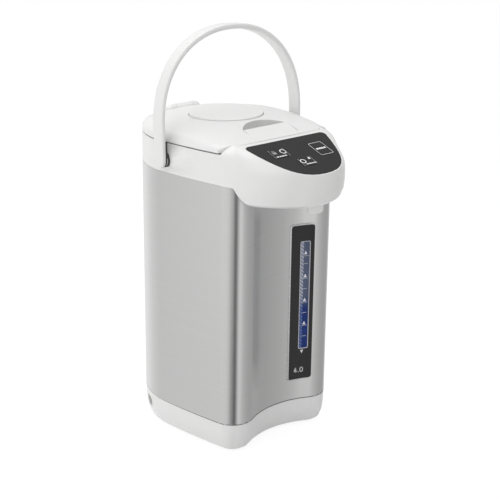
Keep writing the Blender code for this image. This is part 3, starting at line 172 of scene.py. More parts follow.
def white_plastic(name="white_gloss", tone=0.80, roughness=0.3):
    """Gloss white moulding: a faint flow ripple, a slightly uneven sheen and a touch of warmth"""
    made = stuff(name, (tone, tone, tone * 0.995), roughness, coat_weight=0.2, coat_roughness=0.14)
    n = Nodes(made)
    cloud = n.fit(n.noise(7.0, 2.0), 0.0, 1.0)
    n.link(n.blend(cloud, shade(tone, 0.992, 0.990), shade(tone, 1.006, 0.998)), "Base Color")
    n.link(n.fit(n.noise(16.0, 2.0), roughness - 0.02, roughness + 0.03), "Roughness")
    n.bump(n.noise(40.0, 1.0), 0.00001, 0.3)
    return made


def brushed_steel(name="brushed_wrap", tone=0.72, roughness=0.3):
    """Satin steel brushed round the body: very fine lines, a few longer strokes and a soft uneven sheen"""
    made = stuff(name, (tone, tone, tone * 0.995), roughness, 1.0, anisotropic=0.7, anisotropic_rotation=0.25)
    n = Nodes(made)
    fine = n.noise(1.0, 2.0, n.scaled((0.5, 0.5, 1500.0)), 0.5)
    strokes = n.noise(1.0, 2.0, n.scaled((2.0, 2.0, 420.0)), 0.5)
    both = n.math("ADD", fine, strokes)
    lines = n.fit(both, 0.0, 1.0, 0.75, 1.25)
    n.link(n.blend(lines, shade(tone, 0.985, 0.992), shade(tone, 1.015, 0.996)), "Base Color")
    cloud = n.fit(n.noise(5.0, 2.0), roughness - 0.01, roughness + 0.015)
    n.link(n.math("ADD", n.fit(both, -0.02, 0.02, 0.75, 1.25), cloud), "Roughness")
    n.bump(both, 0.000006, 0.4)
    return made


def satin_metal(name, colour, roughness, scale):
    """Plain metal with lines drawn out along the directions of small scale"""
    made = stuff(name, colour, roughness, 1.0)
    n = Nodes(made)
    lines = n.noise(1.0, 3.0, n.scaled(scale), 0.6)
    dark = tuple(c * 0.96 for c in colour) + (1.0,)
    light = tuple(min(c * 1.03, 1.0) for c in colour) + (1.0,)
    n.link(n.blend(n.fit(lines, 0.0, 1.0), dark, light), "Base Color")
    n.link(n.fit(lines, roughness - 0.04, roughness + 0.05), "Roughness")
    n.bump(lines, 0.00001, 0.4)
    return made


def black_sheet(name, tone, roughness, level):
    """Printed black sheet: nearly black, with a fine grain under a soft sheen"""
    made = stuff(name, (tone, tone, tone), roughness, specular_ior_level=level)
    n = Nodes(made)
    grain = n.noise(1400.0, 1.0)
    n.link(n.blend(n.fit(grain, 0.0, 1.0), shade(tone, 0.9), shade(tone, 1.1)), "Base Color")
    n.link(n.fit(n.noise(30.0, 2.0), roughness - 0.03, roughness + 0.04), "Roughness")
    n.bump(grain, 0.00001, 0.25)
    return made


def plain_moulded(name, colour, roughness):
    """Moulded plastic or rubber with a fine spark texture"""
    made = stuff(name, colour, roughness)
    n = Nodes(made)
    cloud = n.noise(14.0, 3.0)
    dark = tuple(c * 0.94 for c in colour) + (1.0,)
    light = tuple(min(c * 1.05, 1.0) for c in colour) + (1.0,)
    n.link(n.blend(n.fit(cloud, 0.0, 1.0), dark, light), "Base Color")
    n.link(n.fit(n.noise(40.0, 2.0), roughness - 0.04, roughness + 0.04), "Roughness")
    n.bump(n.noise(500.0, 2.0), 0.00004, 0.5)
    return made


def clear_tube():
    """Clear tube with the faintest haze"""
    made = stuff("clear_tube", (0.9, 0.95, 0.97), 0.05, transmission_weight=1.0)
    n = Nodes(made)
    n.link(n.fit(n.noise(30.0, 2.0), 0.03, 0.09), "Roughness")
    return made


water_line = 181.0 * MM
water_blend = 9.0 * MM
hatch_right = 38.4 * MM
hatch_pitch = 4.8 * MM
hatch_slope = 1.1


def window_blue():
    """Gauge window: blue-grey above the water's level, blue below it, and a light hatch down its left"""
    made = stuff("gauge_blue", (0.02, 0.04, 0.15), 0.22, specular_ior_level=0.22)
    n = Nodes(made)
    x, z = n.across_and_up()
    wave = n.math("MULTIPLY", n.noise(55.0, 2.0), 6.0 * MM)
    level = n.fit(n.math("ADD", z, wave), 0.0, 1.0, water_line - water_blend, water_line + water_blend)
    cloud = n.fit(n.noise(30.0, 2.0), 0.0, 1.0)
    deep = n.blend(cloud, (0.004, 0.022, 0.145, 1.0), (0.010, 0.038, 0.20, 1.0))
    pale = n.blend(cloud, (0.083, 0.104, 0.172, 1.0), (0.102, 0.125, 0.20, 1.0))
    plain = n.blend(level, deep, pale)
    lines = n.blend(level, (0.125, 0.175, 0.37, 1.0), (0.46, 0.48, 0.56, 1.0))
    slant = n.math("ADD", z, n.math("MULTIPLY", x, hatch_slope))
    turn = n.math("FRACT", n.math("DIVIDE", slant, hatch_pitch))
    near = n.math("ABSOLUTE", n.math("SUBTRACT", turn, 0.5))
    ink = n.fit(near, 1.0, 0.25, 0.18, 0.32)
    side = n.fit(x, 1.0, 0.0, hatch_right - 0.4 * MM, hatch_right + 0.6 * MM)
    n.link(n.blend(n.math("MULTIPLY", ink, side), plain, lines), "Base Color")
    n.link(n.fit(cloud, 0.2, 0.26, 0.0, 1.0), "Roughness")
    return made


def print_ink(name, tone, blue=1.0):
    """Printed marks: slightly uneven ink"""
    made = stuff(name, (tone, tone, tone * blue), 0.5)
    n = Nodes(made)
    n.link(n.blend(n.fit(n.noise(700.0, 2.0), 0.0, 1.0), shade(tone, 0.92, blue), shade(tone, 1.05, blue)),
           "Base Color")
    n.link(n.fit(n.noise(200.0, 2.0), 0.45, 0.56), "Roughness")
    return made


def clad(names, made):
    """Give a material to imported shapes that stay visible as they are"""
    for name in names:
        data = nodes[name].data
        data.materials.clear()
        data.materials.append(made)


# Visible shells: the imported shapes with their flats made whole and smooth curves

weld_reach = 2.0e-6
crease = math.radians(32.0)
flat_limit = math.radians(0.4)
shell_weight = 60


def shell(node, body, made):
    """A node's shape with clean shading, standing for the node"""
    bm = bmesh.new()
    bm.from_mesh(nodes[node].data)
    bmesh.ops.remove_doubles(bm, verts=bm.verts, dist=weld_reach)
    bmesh.ops.dissolve_limit(bm, angle_limit=flat_limit, verts=bm.verts, edges=bm.edges)
    for face in bm.faces:
        face.smooth = True
        face.material_index = 0
    for edge in bm.edges:
        edge.smooth = edge.calc_face_angle(0.0) < crease
    mesh = bpy.data.meshes.new(node + "_shell")
    bm.to_mesh(mesh)
    bm.free()
    mesh.materials.append(made)
    made_shell = bpy.data.objects.new(node + "_shell", mesh)
    bpy.context.scene.collection.objects.link(made_shell)
    even = made_shell.modifiers.new("even_shading", "WEIGHTED_NORMAL")
    even.keep_sharp = True
    even.weight = shell_weight
    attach(made_shell, body)
    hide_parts(node)


# Marks and rims: short outlines laid on a surface

def add_piece(name, bm, made, body):
    """A built shape as an object that rides on its body"""
    bmesh.ops.recalc_face_normals(bm, faces=bm.faces)
    mesh = bpy.data.meshes.new(name)
    bm.to_mesh(mesh)
    bm.free()
    mesh.materials.append(made)
    piece = bpy.data.objects.new(name, mesh)
    bpy.context.scene.collection.objects.link(piece)
    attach(piece, body)
    return piece


def surface_of(node):
    """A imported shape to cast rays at"""
    bm = bmesh.new()
    bm.from_mesh(nodes[node].data)
    surface = BVHTree.FromBMesh(bm)
    bm.free()
    return surface


casing_surface = surface_of("steel_casing")
window_surface = surface_of("gauge_window")
cast_height = 60.0 * MM
cast_reach = 0.3
window_cast_height = 200.0 * MM
slope_reach = 2.0 * MM


def front_depth_at(surface, x, z):
    """How far back a surface lies, seen from the front"""
    return surface.ray_cast(Vector((x, cad_box[0][1] * 2, z)), Vector((0.0, 1.0, 0.0)))[0].y


def over_front(x, z, lift):
    """A point at a height over the wrap's hollow front"""
    back = front_depth_at(casing_surface, x, cast_height)
    left = front_depth_at(casing_surface, x - slope_reach, cast_height)
    right = front_depth_at(casing_surface, x + slope_reach, cast_height)
    out = Vector(((right - left) / (2 * slope_reach), -1.0, 0.0)).normalized()
    return Vector((x, back, z)) + out * lift


def over_window(x, z, lift):
    """A point at a height over the gauge window"""
    return Vector((x, front_depth_at(window_surface, x, window_cast_height) - lift, z))


panel_slope = math.radians(20.0)
panel_spot = Vector((0.0, -71.15 * MM, 399.8 * MM))


def over_panel(x, s, lift):
    """A point at a height over the panel, x across and s down its slope"""
    along = Vector((0.0, -math.cos(panel_slope), -math.sin(panel_slope)))
    out = Vector((0.0, -math.sin(panel_slope), math.cos(panel_slope)))
    return panel_spot + Vector((x, 0.0, 0.0)) + along * s + out * lift


def rounded(left, right, low, high, corner, step=1.6 * MM, turns=6):
    """Points and outward directions round a rounded rectangle, close enough to follow a curved face"""
    made = []
    middles = ((right - corner, high - corner), (left + corner, high - corner),
               (left + corner, low + corner), (right - corner, low + corner))
    for k, (x, z) in enumerate(middles):
        for i in range(turns + 1):
            turn = (k + i / turns) * math.pi / 2
            out = (math.cos(turn), math.sin(turn))
            made.append(((x + corner * out[0], z + corner * out[1]), out))
        ahead = middles[(k + 1) % 4]
        length = abs(ahead[0] - x) + abs(ahead[1] - z)
        count = max(1, round(length / step)) if k % 2 == 0 else 1
        (u, v), out = made[-1]
        for i in range(1, count):
            made.append(((u + (ahead[0] - x) * i / count, v + (ahead[1] - z) * i / count), out))
    return made


def circle(x, z, radius, turns=28):
    """Points and outward directions round a circle"""
    steps = [2 * math.pi * i / turns for i in range(turns)]
    return [((x + radius * math.cos(t), z + radius * math.sin(t)), (math.cos(t), math.sin(t))) for t in steps]


def skin(bm, rows, closed=True):
    """Faces between loops of points: round and back to the first, or with a cap at both ends"""
    for row, after in zip(rows, rows[1:] + rows[:1] if closed else rows[1:]):
        for i in range(len(row)):
            j = (i + 1) % len(row)
            bm.faces.new((row[i], row[j], after[j], after[i]))
    if not closed:
        bm.faces.new(rows[0][::-1])
        bm.faces.new(rows[-1])


def sweep(outline, profile, spot):
    """A closed rim: the profile's points (offset out, height) carried round an outline"""
    bm = bmesh.new()
    skin(bm, [[bm.verts.new(spot(u + out * du, v + out * dv, lift)) for out, lift in profile]
              for (u, v), (du, dv) in outline])
    return bm


def band(width, low, high):
    """A flat print's profile, inside its outline"""
    return [(0.0, low), (0.0, high), (-width, high), (-width, low)]


def flat_mark(bm, points, spot, low, high):
    """One thin filled mark"""
    under = [bm.verts.new(spot(u, v, low)) for u, v in points]
    over = [bm.verts.new(spot(u, v, high)) for u, v in points]
    bm.faces.new(over)
    bm.faces.new(under[::-1])
    for i in range(len(points)):
        j = (i + 1) % len(points)
        bm.faces.new((under[i], under[j], over[j], over[i]))


def bar(x, z, width, height):
    """Block round its middle"""
    return [(x - width / 2, z - height / 2), (x + width / 2, z - height / 2),
            (x + width / 2, z + height / 2), (x - width / 2, z + height / 2)]


def wedge(x, z, width, height):
    """Triangle on its base, point up; a negative height points it down"""
    return [(x - width / 2, z), (x + width / 2, z), (x, z + height)]


ink_low = -0.03 * MM
ink_high = 0.06 * MM
plate_height = 1.9 * MM
window_height = 1.1 * MM
gauge_corner = 3.0 * MM
window_corner = 1.6 * MM
trim_profile = ((0.2 * MM, 0.05 * MM), (1.9 * MM, 0.05 * MM), (1.5 * MM, 1.0 * MM), (0.7 * MM, 1.75 * MM),
                (0.2 * MM, 1.75 * MM))
rim_profile = ((0.5 * MM, plate_height - 0.04 * MM), (0.45 * MM, plate_height + 0.15 * MM),
               (-0.45 * MM, plate_height + 0.12 * MM), (-0.6 * MM, window_height - 0.03 * MM),
               (-0.1 * MM, window_height - 0.03 * MM))
point_width = 4.2 * MM
point_height = 4.8 * MM
line_height = 0.8 * MM
empty_spot = (38.9 * MM, 111.4 * MM)
empty_width = 4.6 * MM
empty_height = 4.9 * MM
mark_middle = 41.0 * MM
level_points = (243.3 * MM, 211.8 * MM, 178.9 * MM, 146.6 * MM)
level_lines = ((241.2 * MM, 37.8 * MM, 45.8 * MM), (230.7 * MM, 38.4 * MM, 43.6 * MM),
               (210.6 * MM, 38.0 * MM, 44.6 * MM), (196.4 * MM, 38.4 * MM, 43.6 * MM),
               (177.7 * MM, 38.0 * MM, 44.6 * MM), (163.2 * MM, 38.4 * MM, 43.6 * MM),
               (145.4 * MM, 38.0 * MM, 44.6 * MM), (130.5 * MM, 38.4 * MM, 43.6 * MM))


def dress_gauge():
    """Trim round the gauge plate, rim round its window, level marks and the full mark's number"""
    box_low, box_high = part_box("gauge_plate")
    around = rounded(box_low.x, box_high.x, box_low.z, box_high.z, gauge_corner)
    add_piece("gauge_trim", sweep(around, trim_profile, over_front),
              satin_metal("trim_steel", (0.74, 0.74, 0.74), 0.26, (40.0, 40.0, 900.0)), "pot")
    glass_low, glass_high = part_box("gauge_window")
    around = rounded(glass_low.x, glass_high.x, glass_low.z, glass_high.z, window_corner, turns=4)
    add_piece("window_rim", sweep(around, rim_profile, over_front), print_ink("rim_pale", 0.5, 1.12),
              "pot")
    marks = bmesh.new()
    for z in level_points:
        flat_mark(marks, wedge(mark_middle, z, point_width, point_height), over_window, ink_low, ink_high)
    add_piece("level_points", marks, print_ink("ink_white", 0.78, 1.12), "pot")
    marks = bmesh.new()
    for z, left, right in level_lines:
        flat_mark(marks, bar((left + right) / 2, z, right - left, line_height), over_window,
                  ink_low, ink_high)
    add_piece("level_lines", marks, print_ink("ink_pale", 0.42, 1.1), "pot")
    marks = bmesh.new()
    flat_mark(marks, wedge(*empty_spot, empty_width, -empty_height), over_front,
              plate_height + ink_low, plate_height + ink_high)
    add_piece("empty_point", marks, print_ink("ink_low_mark", 0.7), "pot")
    dress_number()


number_low = 79.8 * MM
number_high = 87.0 * MM
number_left = 28.4 * MM
digit_width = 4.8 * MM
digit_stroke = 1.2 * MM
shelf_share = 0.28
upright_share = 0.3
slant_foot = digit_stroke * 1.15
slant_head = digit_stroke * 1.1
slant_drop = digit_stroke * 0.2
point_gap = 1.6 * MM
nought_gap = 3.4 * MM
nought_corner = 2.2 * MM


def dress_number():
    """The full mark's plain number, four and nought with a point between"""
    low, high, stroke = number_low, number_high, digit_stroke
    left = number_left
    right = left + digit_width
    shelf = low + (high - low) * shelf_share
    upright = right - digit_width * upright_share
    ink = print_ink("ink_number", 0.55)
    marks = bmesh.new()
    pieces = [[(upright - stroke, low), (upright, low), (upright, high), (upright - stroke, high)],
              bar((left + right) / 2, shelf, digit_width, stroke),
              [(left, shelf), (left + slant_foot, shelf), (upright, high - slant_drop),
               (upright - slant_head, high)],
              bar(right + point_gap, low + stroke / 2, stroke, stroke)]
    for points in pieces:
        flat_mark(marks, points, over_front, plate_height + ink_low, plate_height + ink_high)
    add_piece("number_four", marks, ink, "pot")
    nought = right + nought_gap
    ring = rounded(nought, nought + digit_width, low, high, nought_corner, turns=5)
    flat = band(stroke, plate_height + ink_low, plate_height + ink_high)
    add_piece("number_nought", sweep(ring, flat, over_front), ink, "pot")


key_lift = 0.3 * MM
bracket_inset = 0.9 * MM
bracket_tick = 2.2 * MM
bracket_width = 0.5 * MM
sign_stroke = 1.25 * MM
block_height = 1.9 * MM
key_1_ring = (-21.8 * MM, 22.0 * MM, 4.5 * MM)
key_1_row = (-38.6 * MM, -22.4 * MM, 30.4 * MM)
key_1_widths = (2.2, 0.5, 1.6, 0.5, 2.4, 0.5, 2.0)
lock_spot = (-35.6 * MM, 22.6 * MM)
lock_size = (5.4 * MM, 4.0 * MM)
shackle_span = (-37.6 * MM, -33.6 * MM, 17.4 * MM, 21.8 * MM)
shackle_corner = 1.8 * MM
shackle_stroke = 0.7 * MM
key_2_ring = (-11.2 * MM, 48.0 * MM, 4.2 * MM)
key_2_row = (-10.8 * MM, 4.0 * MM, 54.6 * MM)
key_2_widths = (1.8, 0.5, 2.6, 0.5, 1.5, 0.5, 1.9)
drop_spot = (1.4 * MM, 45.0 * MM)
drop_radius = 1.7 * MM
drop_tail = 3.4 * MM
drop_start = -30.0
drop_turn = 240.0
drop_steps = 12
key_3_corner = 2.6 * MM
key_3_stroke = 0.75 * MM
key_3_row = (26.2 * MM, 41.8 * MM, 31.2 * MM)
key_3_block_height = 2.9 * MM
key_3_widths = (2.4, 0.5, 1.9, 0.5, 2.6, 0.5, 2.2)
key_spots = ((-29.6 * MM, 24.0 * MM), (-5.4 * MM, 49.4 * MM), (33.8 * MM, 31.2 * MM))
key_spans = ((26.0 * MM, 18.0 * MM), (22.6 * MM, 16.6 * MM), (22.6 * MM, 27.6 * MM))


def bracket(x, low, high, tick, width):
    """One side's line with a short turn at each end"""
    side = math.copysign(width, tick)
    return [(x, low), (x + tick, low), (x + tick, low + width), (x + side, low + width),
            (x + side, high - width), (x + tick, high - width), (x + tick, high), (x, high)]


def dashes(left, right, s, height, widths):
    """A row of short blocks that fills a length"""
    share = (right - left) / sum(widths)
    made = []
    at = left
    for k, width in enumerate(widths):
        if k % 2 == 0:
            made.append(bar(at + width * share / 2, s, width * share, height))
        at += width * share
    return made


def droplet(x, s, radius, tail):
    """Drop with its point up the slope"""
    turns = [math.radians(drop_start + drop_turn * i / drop_steps) for i in range(drop_steps + 1)]
    return [(x + radius * math.cos(t), s + radius * math.sin(t)) for t in turns] + [(x, s - tail)]


def panel_marks(name, shapes, body, made):
    """Filled marks printed on a key"""
    marks = bmesh.new()
    for points in shapes:
        flat_mark(marks, points, over_panel, key_lift + ink_low, key_lift + ink_high)
    add_piece(name, marks, made, body)


def ring_sign(name, spot, body, made):
    """Ring printed on a key"""
    x, s, radius = spot
    flat = band(sign_stroke, key_lift + ink_low, key_lift + ink_high)
    add_piece(name, sweep(circle(x, s, radius), flat, over_panel), made, body)


def line_sign(name, around, stroke, body, made):
    """Closed line printed on a key"""
    flat = band(stroke, key_lift + ink_low, key_lift + ink_high)
    add_piece(name, sweep(around, flat, over_panel), made, body)


def dress_keys():
    """Brackets, rings, small signs and rows of blocks on the keys"""
    bright = print_ink("ink_bright", 0.86)
    faint = print_ink("ink_faint", 0.34)
    for k, body in enumerate(("first_key", "second_key")):
        x, s = key_spots[k]
        half = key_spans[k][0] / 2 - bracket_inset
        low = s - key_spans[k][1] / 2 + bracket_inset
        high = s + key_spans[k][1] / 2 - bracket_inset
        panel_marks(f"key_{k + 1}_brackets", [bracket(x - half, low, high, bracket_tick, bracket_width),
                                              bracket(x + half, low, high, -bracket_tick, bracket_width)],
                    body, faint)
    ring_sign("key_1_ring", key_1_ring, "first_key", bright)
    panel_marks("key_1_blocks", dashes(*key_1_row, block_height, key_1_widths), "first_key", bright)
    panel_marks("key_1_lock", [bar(*lock_spot, *lock_size)], "first_key", faint)
    shackle = rounded(*shackle_span, shackle_corner, turns=4)
    line_sign("key_1_shackle", shackle, shackle_stroke, "first_key", faint)
    ring_sign("key_2_ring", key_2_ring, "second_key", bright)
    panel_marks("key_2_blocks", dashes(*key_2_row, block_height, key_2_widths), "second_key", bright)
    panel_marks("key_2_drop", [droplet(*drop_spot, drop_radius, drop_tail)], "second_key", bright)
    x, s = key_spots[2]
    half = key_spans[2][0] / 2 - bracket_inset / 2
    reach = key_spans[2][1] / 2 - bracket_inset / 2
    frame_line = rounded(x - half, x + half, s - reach, s + reach, key_3_corner, turns=6)
    line_sign("key_3_frame", frame_line, key_3_stroke, "third_key", print_ink("ink_frame", 0.62))
    panel_marks("key_3_blocks", dashes(*key_3_row, key_3_block_height, key_3_widths), "third_key", bright)


# Carrying bail

bail_pivot = Vector((0.0, 27.25 * MM, 372.0 * MM))
bail_lean = math.radians(3.6)
bail_half_width = 116.4 * MM
bail_leg_top = 41.9 * MM
bail_rise = 114.2 * MM
bail_curve = 2.16
bail_leg_thickness = 5.7 * MM
bail_grip_thickness = 6.9 * MM
bail_width = 19.0 * MM
bail_corner = 2.6 * MM
bail_set_back = 1.8 * MM
bail_steps = 72
bail_foot_turn = math.radians(86.0)
bail_foot_steps = 9
bail_leg_steps = 6
bail_corner_steps = 4
bail_place = Matrix.Translation(bail_pivot) @ Matrix.Rotation(-bail_lean, 4, "X")


def bail_section(half_width, half_depth, corner):
    """Rounded strip section: (across the strip, out from it)"""
    corner = min(corner, half_width * 0.9)
    made = []
    for k, (across, out) in enumerate(((1, 1), (-1, 1), (-1, -1), (1, -1))):
        for i in range(bail_corner_steps + 1):
            turn = (k + i / bail_corner_steps) * math.pi / 2
            made.append((across * (half_width - corner) + corner * math.cos(turn),
                         out * (half_depth - corner) + corner * math.sin(turn)))
    return made


def set_back(z):
    """How far behind the pivot a leg's middle lies at a height"""
    return bail_set_back * (1 - min(max(z, 0.0) / bail_leg_top, 1.0))


def make_bail(made):
    """The carrying bail as a broad rounded strip with half round feet, standing for the node"""
    path = []
    for i in range(bail_steps + 1):
        turn = math.pi * i / bail_steps
        share = math.sin(turn)
        thick = bail_leg_thickness + (bail_grip_thickness - bail_leg_thickness) * share
        across = math.cos(turn)
        x = -math.copysign(abs(across) ** (2 / bail_curve), across) * (bail_half_width - thick / 2)
        z = bail_leg_top + (bail_rise - thick / 2) * max(share, 0.0) ** (2 / bail_curve)
        path.append((x, z, thick, bail_width / 2))
    foot = []
    side = bail_half_width - bail_leg_thickness / 2
    for i in range(bail_foot_steps):
        turn = bail_foot_turn * (1 - i / (bail_foot_steps - 1))
        foot.append((side, -bail_width / 2 * math.sin(turn), bail_leg_thickness,
                     bail_width / 2 * math.cos(turn)))
    for i in range(1, bail_leg_steps):
        foot.append((side, bail_leg_top * i / bail_leg_steps, bail_leg_thickness, bail_width / 2))
    path = [(-x, z, thick, half) for x, z, thick, half in foot] + path + foot[::-1]
    bm = bmesh.new()
    rows = []
    for k, (x, z, thick, half) in enumerate(path):
        before = path[max(k - 1, 0)]
        after = path[min(k + 1, len(path) - 1)]
        along = Vector((after[0] - before[0], 0.0, after[1] - before[1])).normalized()
        out = Vector((-along.z, 0.0, along.x))
        middle = Vector((x, set_back(z), z))
        rows.append([bm.verts.new(middle + Vector((0.0, across, 0.0)) + out * depth)
                     for across, depth in bail_section(half, thick / 2, bail_corner)])
    skin(bm, rows, closed=False)
    for face in bm.faces:
        face.smooth = True
    bmesh.ops.transform(bm, verts=bm.verts, matrix=bail_place)
    piece = add_piece("bail_strip", bm, made, "bail")
    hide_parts("carry_handle")


lip_inset = 0.5 * MM
lip_width = 1.0 * MM
lip_depth = 2.3 * MM
lip_top = 24.0 * MM
lip_bury = 0.2 * MM
lip_turns = 20
lip_profile = ((0.0, 0.0), (0.0, 0.8), (0.3, 1.0), (0.7, 1.0), (1.0, 0.8), (1.0, 0.0))


def make_shade_lips(made):
    """Painted shade: a dark lip round the inner side of each foot of the bail, down one edge and up the
    other, darkening the gap between foot and wall where its shadow falls
    """
    half = bail_width / 2 - lip_inset
    line = [((-half, lip_top), (-1.0, 0.0)), ((-half, lip_top / 2), (-1.0, 0.0))]
    for i in range(lip_turns + 1):
        turn = math.pi + math.pi * i / lip_turns
        line.append(((half * math.cos(turn), half * math.sin(turn)), (math.cos(turn), math.sin(turn))))
    line += [((half, lip_top / 2), (1.0, 0.0)), ((half, lip_top), (1.0, 0.0))]
    face = bail_half_width - bail_leg_thickness + lip_bury
    for side, name in ((-1, "bail_lip_shade_right"), (1, "bail_lip_shade_left")):
        bm = bmesh.new()
        rows = [[bm.verts.new((side * (face - depth * lip_depth), y - dy * width * lip_width + set_back(z),
                               z - dz * width * lip_width)) for width, depth in lip_profile]
                for (y, z), (dy, dz) in line]
        skin(bm, rows, closed=False)
        bmesh.ops.transform(bm, verts=bm.verts, matrix=bail_place)
        add_piece(name, bm, made, "bail")


collar_profile = ((8.02 * MM, -11.6 * MM), (8.02 * MM, -7.3 * MM), (8.5 * MM, -7.2 * MM),
                  (8.7 * MM, -7.5 * MM), (8.7 * MM, -11.6 * MM))
collar_steps = 40


def make_shade_collars(made):
    """Painted shade: a dark collar round each of the housing's bosses, behind the bail's feet, darkening the
    gap where its shadow falls
    """
    for side, name in ((-1, "boss_collar_shade_right"), (1, "boss_collar_shade_left")):
        bm = bmesh.new()
        skin(bm, [[bm.verts.new((side * (bail_half_width + depth), bail_pivot.y + radius * math.cos(turn),
                                 bail_pivot.z + radius * math.sin(turn))) for radius, depth in collar_profile]
                  for turn in (2 * math.pi * i / collar_steps for i in range(collar_steps))])
        add_piece(name, bm, made, "pot")


fairing_front = -46.0 * MM
fairing_back = 46.0 * MM
fairing_low = -15.4 * MM
fairing_high = 16.6 * MM
fairing_flat_front = -7.0 * MM
fairing_flat_back = 8.0 * MM
fairing_flat_low = -3.0 * MM
fairing_flat_high = 3.0 * MM
fairing_top = 106.2 * MM
fairing_steps = (44, 20)
fairing_gap = 0.02 * MM
fairing_rim = 0.06 * MM
below_boss = -12.0 * MM


def eased(share):
    """A share brought between 0 and 1, with a soft start and end"""
    share = min(max(share, 0.0), 1.0)
    return share * share * (3 - 2 * share)


def rise_between(value, low, flat_low, flat_high, high):
    """One on the flat, eased to nothing at both ends"""
    return eased((value - low) / (flat_low - low)) * eased((high - value) / (high - flat_high))


def make_fairings(made):
    """Smooth swelling of the housing's wall towards each foot of the bail"""
    wall = surface_of("top_housing")
    across, up = fairing_steps
    for side, name in ((-1, "bail_fairing_right"), (1, "bail_fairing_left")):
        bm = bmesh.new()
        skins = []
        for lift in (0.0, 1.0):
            rows = []
            for i in range(across + 1):
                y = fairing_front + (fairing_back - fairing_front) * i / across
                start = Vector((side * cast_reach, bail_pivot.y + y, bail_pivot.z + below_boss))
                flat = abs(wall.ray_cast(start, Vector((-side, 0.0, 0.0)))[0].x)
                row = []
                for k in range(up + 1):
                    z = fairing_low + (fairing_high - fairing_low) * k / up
                    share = (rise_between(y, fairing_front, fairing_flat_front, fairing_flat_back,
                                          fairing_back)
                             * rise_between(z, fairing_low, fairing_flat_low, fairing_flat_high,
                                            fairing_high))
                    x = flat + fairing_gap + lift * (fairing_rim + (fairing_top - flat) * share)
                    row.append(bm.verts.new((side * x, bail_pivot.y + y, bail_pivot.z + z)))
                rows.append(row)
            skins.append(rows)
        for rows in skins:
            for row, after in zip(rows, rows[1:]):
                for k in range(up):
                    bm.faces.new((row[k], row[k + 1], after[k + 1], after[k]))
        under, over = skins
        rim = [(i, 0) for i in range(across)] + [(across, k) for k in range(up)]
        rim += [(i, up) for i in range(across, 0, -1)] + [(0, k) for k in range(up, 0, -1)]
        for face in bm.faces:
            face.smooth = True
        for (i, k), (j, m) in zip(rim, rim[1:] + rim[:1]):
            side_face = bm.faces.new((under[i][k], under[j][m], over[j][m], over[i][k]))
            for edge in side_face.edges:
                edge.smooth = False
        add_piece(name, bm, made, "pot")


ring_steps = 360
ring_middle = 45.25 * MM
head_ring_profile = ((0.06 * MM, 0.02 * MM), (0.06 * MM, 0.28 * MM), (0.6 * MM, 0.28 * MM),
                     (0.6 * MM, 0.02 * MM))
foot_ring_profile = ((-0.08 * MM, -0.01 * MM), (-0.08 * MM, 0.2 * MM), (0.03 * MM, 0.23 * MM),
                     (0.3 * MM, -0.01 * MM))
foot_ring_growth = 3.5


def make_joint_ring(name, made, level, profile, front_growth=0.0):
    """Thin ring round the steel wrap: the profile's points are (in from the steel, up from the level)

    It grows taller towards the front by the given share of its height.
    """
    bm = bmesh.new()
    rows = []
    for i in range(ring_steps):
        turn = 2 * math.pi * i / ring_steps
        out = Vector((math.cos(turn), math.sin(turn), 0.0))
        start = Vector((0.0, ring_middle, cast_height)) + out * cast_reach
        hit = casing_surface.ray_cast(start, -out)[0]
        growth = 1.0 + front_growth * max(0.0, -out.y)
        rows.append([bm.verts.new((hit.x - out.x * inset, hit.y - out.y * inset, level + rise * growth))
                     for inset, rise in profile])
    skin(bm, rows)
    add_piece(name, bm, made, "pot")


def make_joint_rings():
    """Pale seal above the steel wrap and a dark one at its foot"""
    low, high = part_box("steel_casing")
    make_joint_ring("casing_seal", plain_moulded("seal_pale", (0.72, 0.72, 0.71), 0.5),
                    high.z, head_ring_profile)
    make_joint_ring("foot_seal", plain_moulded("seal_dark", (0.06, 0.06, 0.06), 0.6),
                    low.z, foot_ring_profile, foot_ring_growth)


hinge_cap_steps = 28
hinge_cap_profile = ((7.38 * MM, 0.05 * MM), (7.3 * MM, 0.7 * MM), (7.0 * MM, 1.7 * MM), (6.4 * MM, 2.9 * MM),
                     (5.5 * MM, 4.2 * MM), (4.3 * MM, 5.4 * MM), (2.9 * MM, 6.4 * MM), (1.4 * MM, 7.0 * MM))


def make_hinge_caps(made):
    """Tapered ends that close the fixed hinge lugs"""
    pin_low, pin_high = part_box("hinge_pin")
    middle = (pin_low + pin_high) / 2
    for side, name in ((-1, "hinge_cap_right"), (1, "hinge_cap_left")):
        bm = bmesh.new()
        turns = [2 * math.pi * i / hinge_cap_steps for i in range(hinge_cap_steps)]
        skin(bm, [[bm.verts.new((side * (pin_high.x + rise), middle.y + radius * math.cos(turn),
                                 middle.z + radius * math.sin(turn))) for turn in turns]
                  for radius, rise in hinge_cap_profile], closed=False)
        for face in bm.faces:
            face.smooth = len(face.verts) == 4
        add_piece(name, bm, made, "pot")


# Finish of every piece

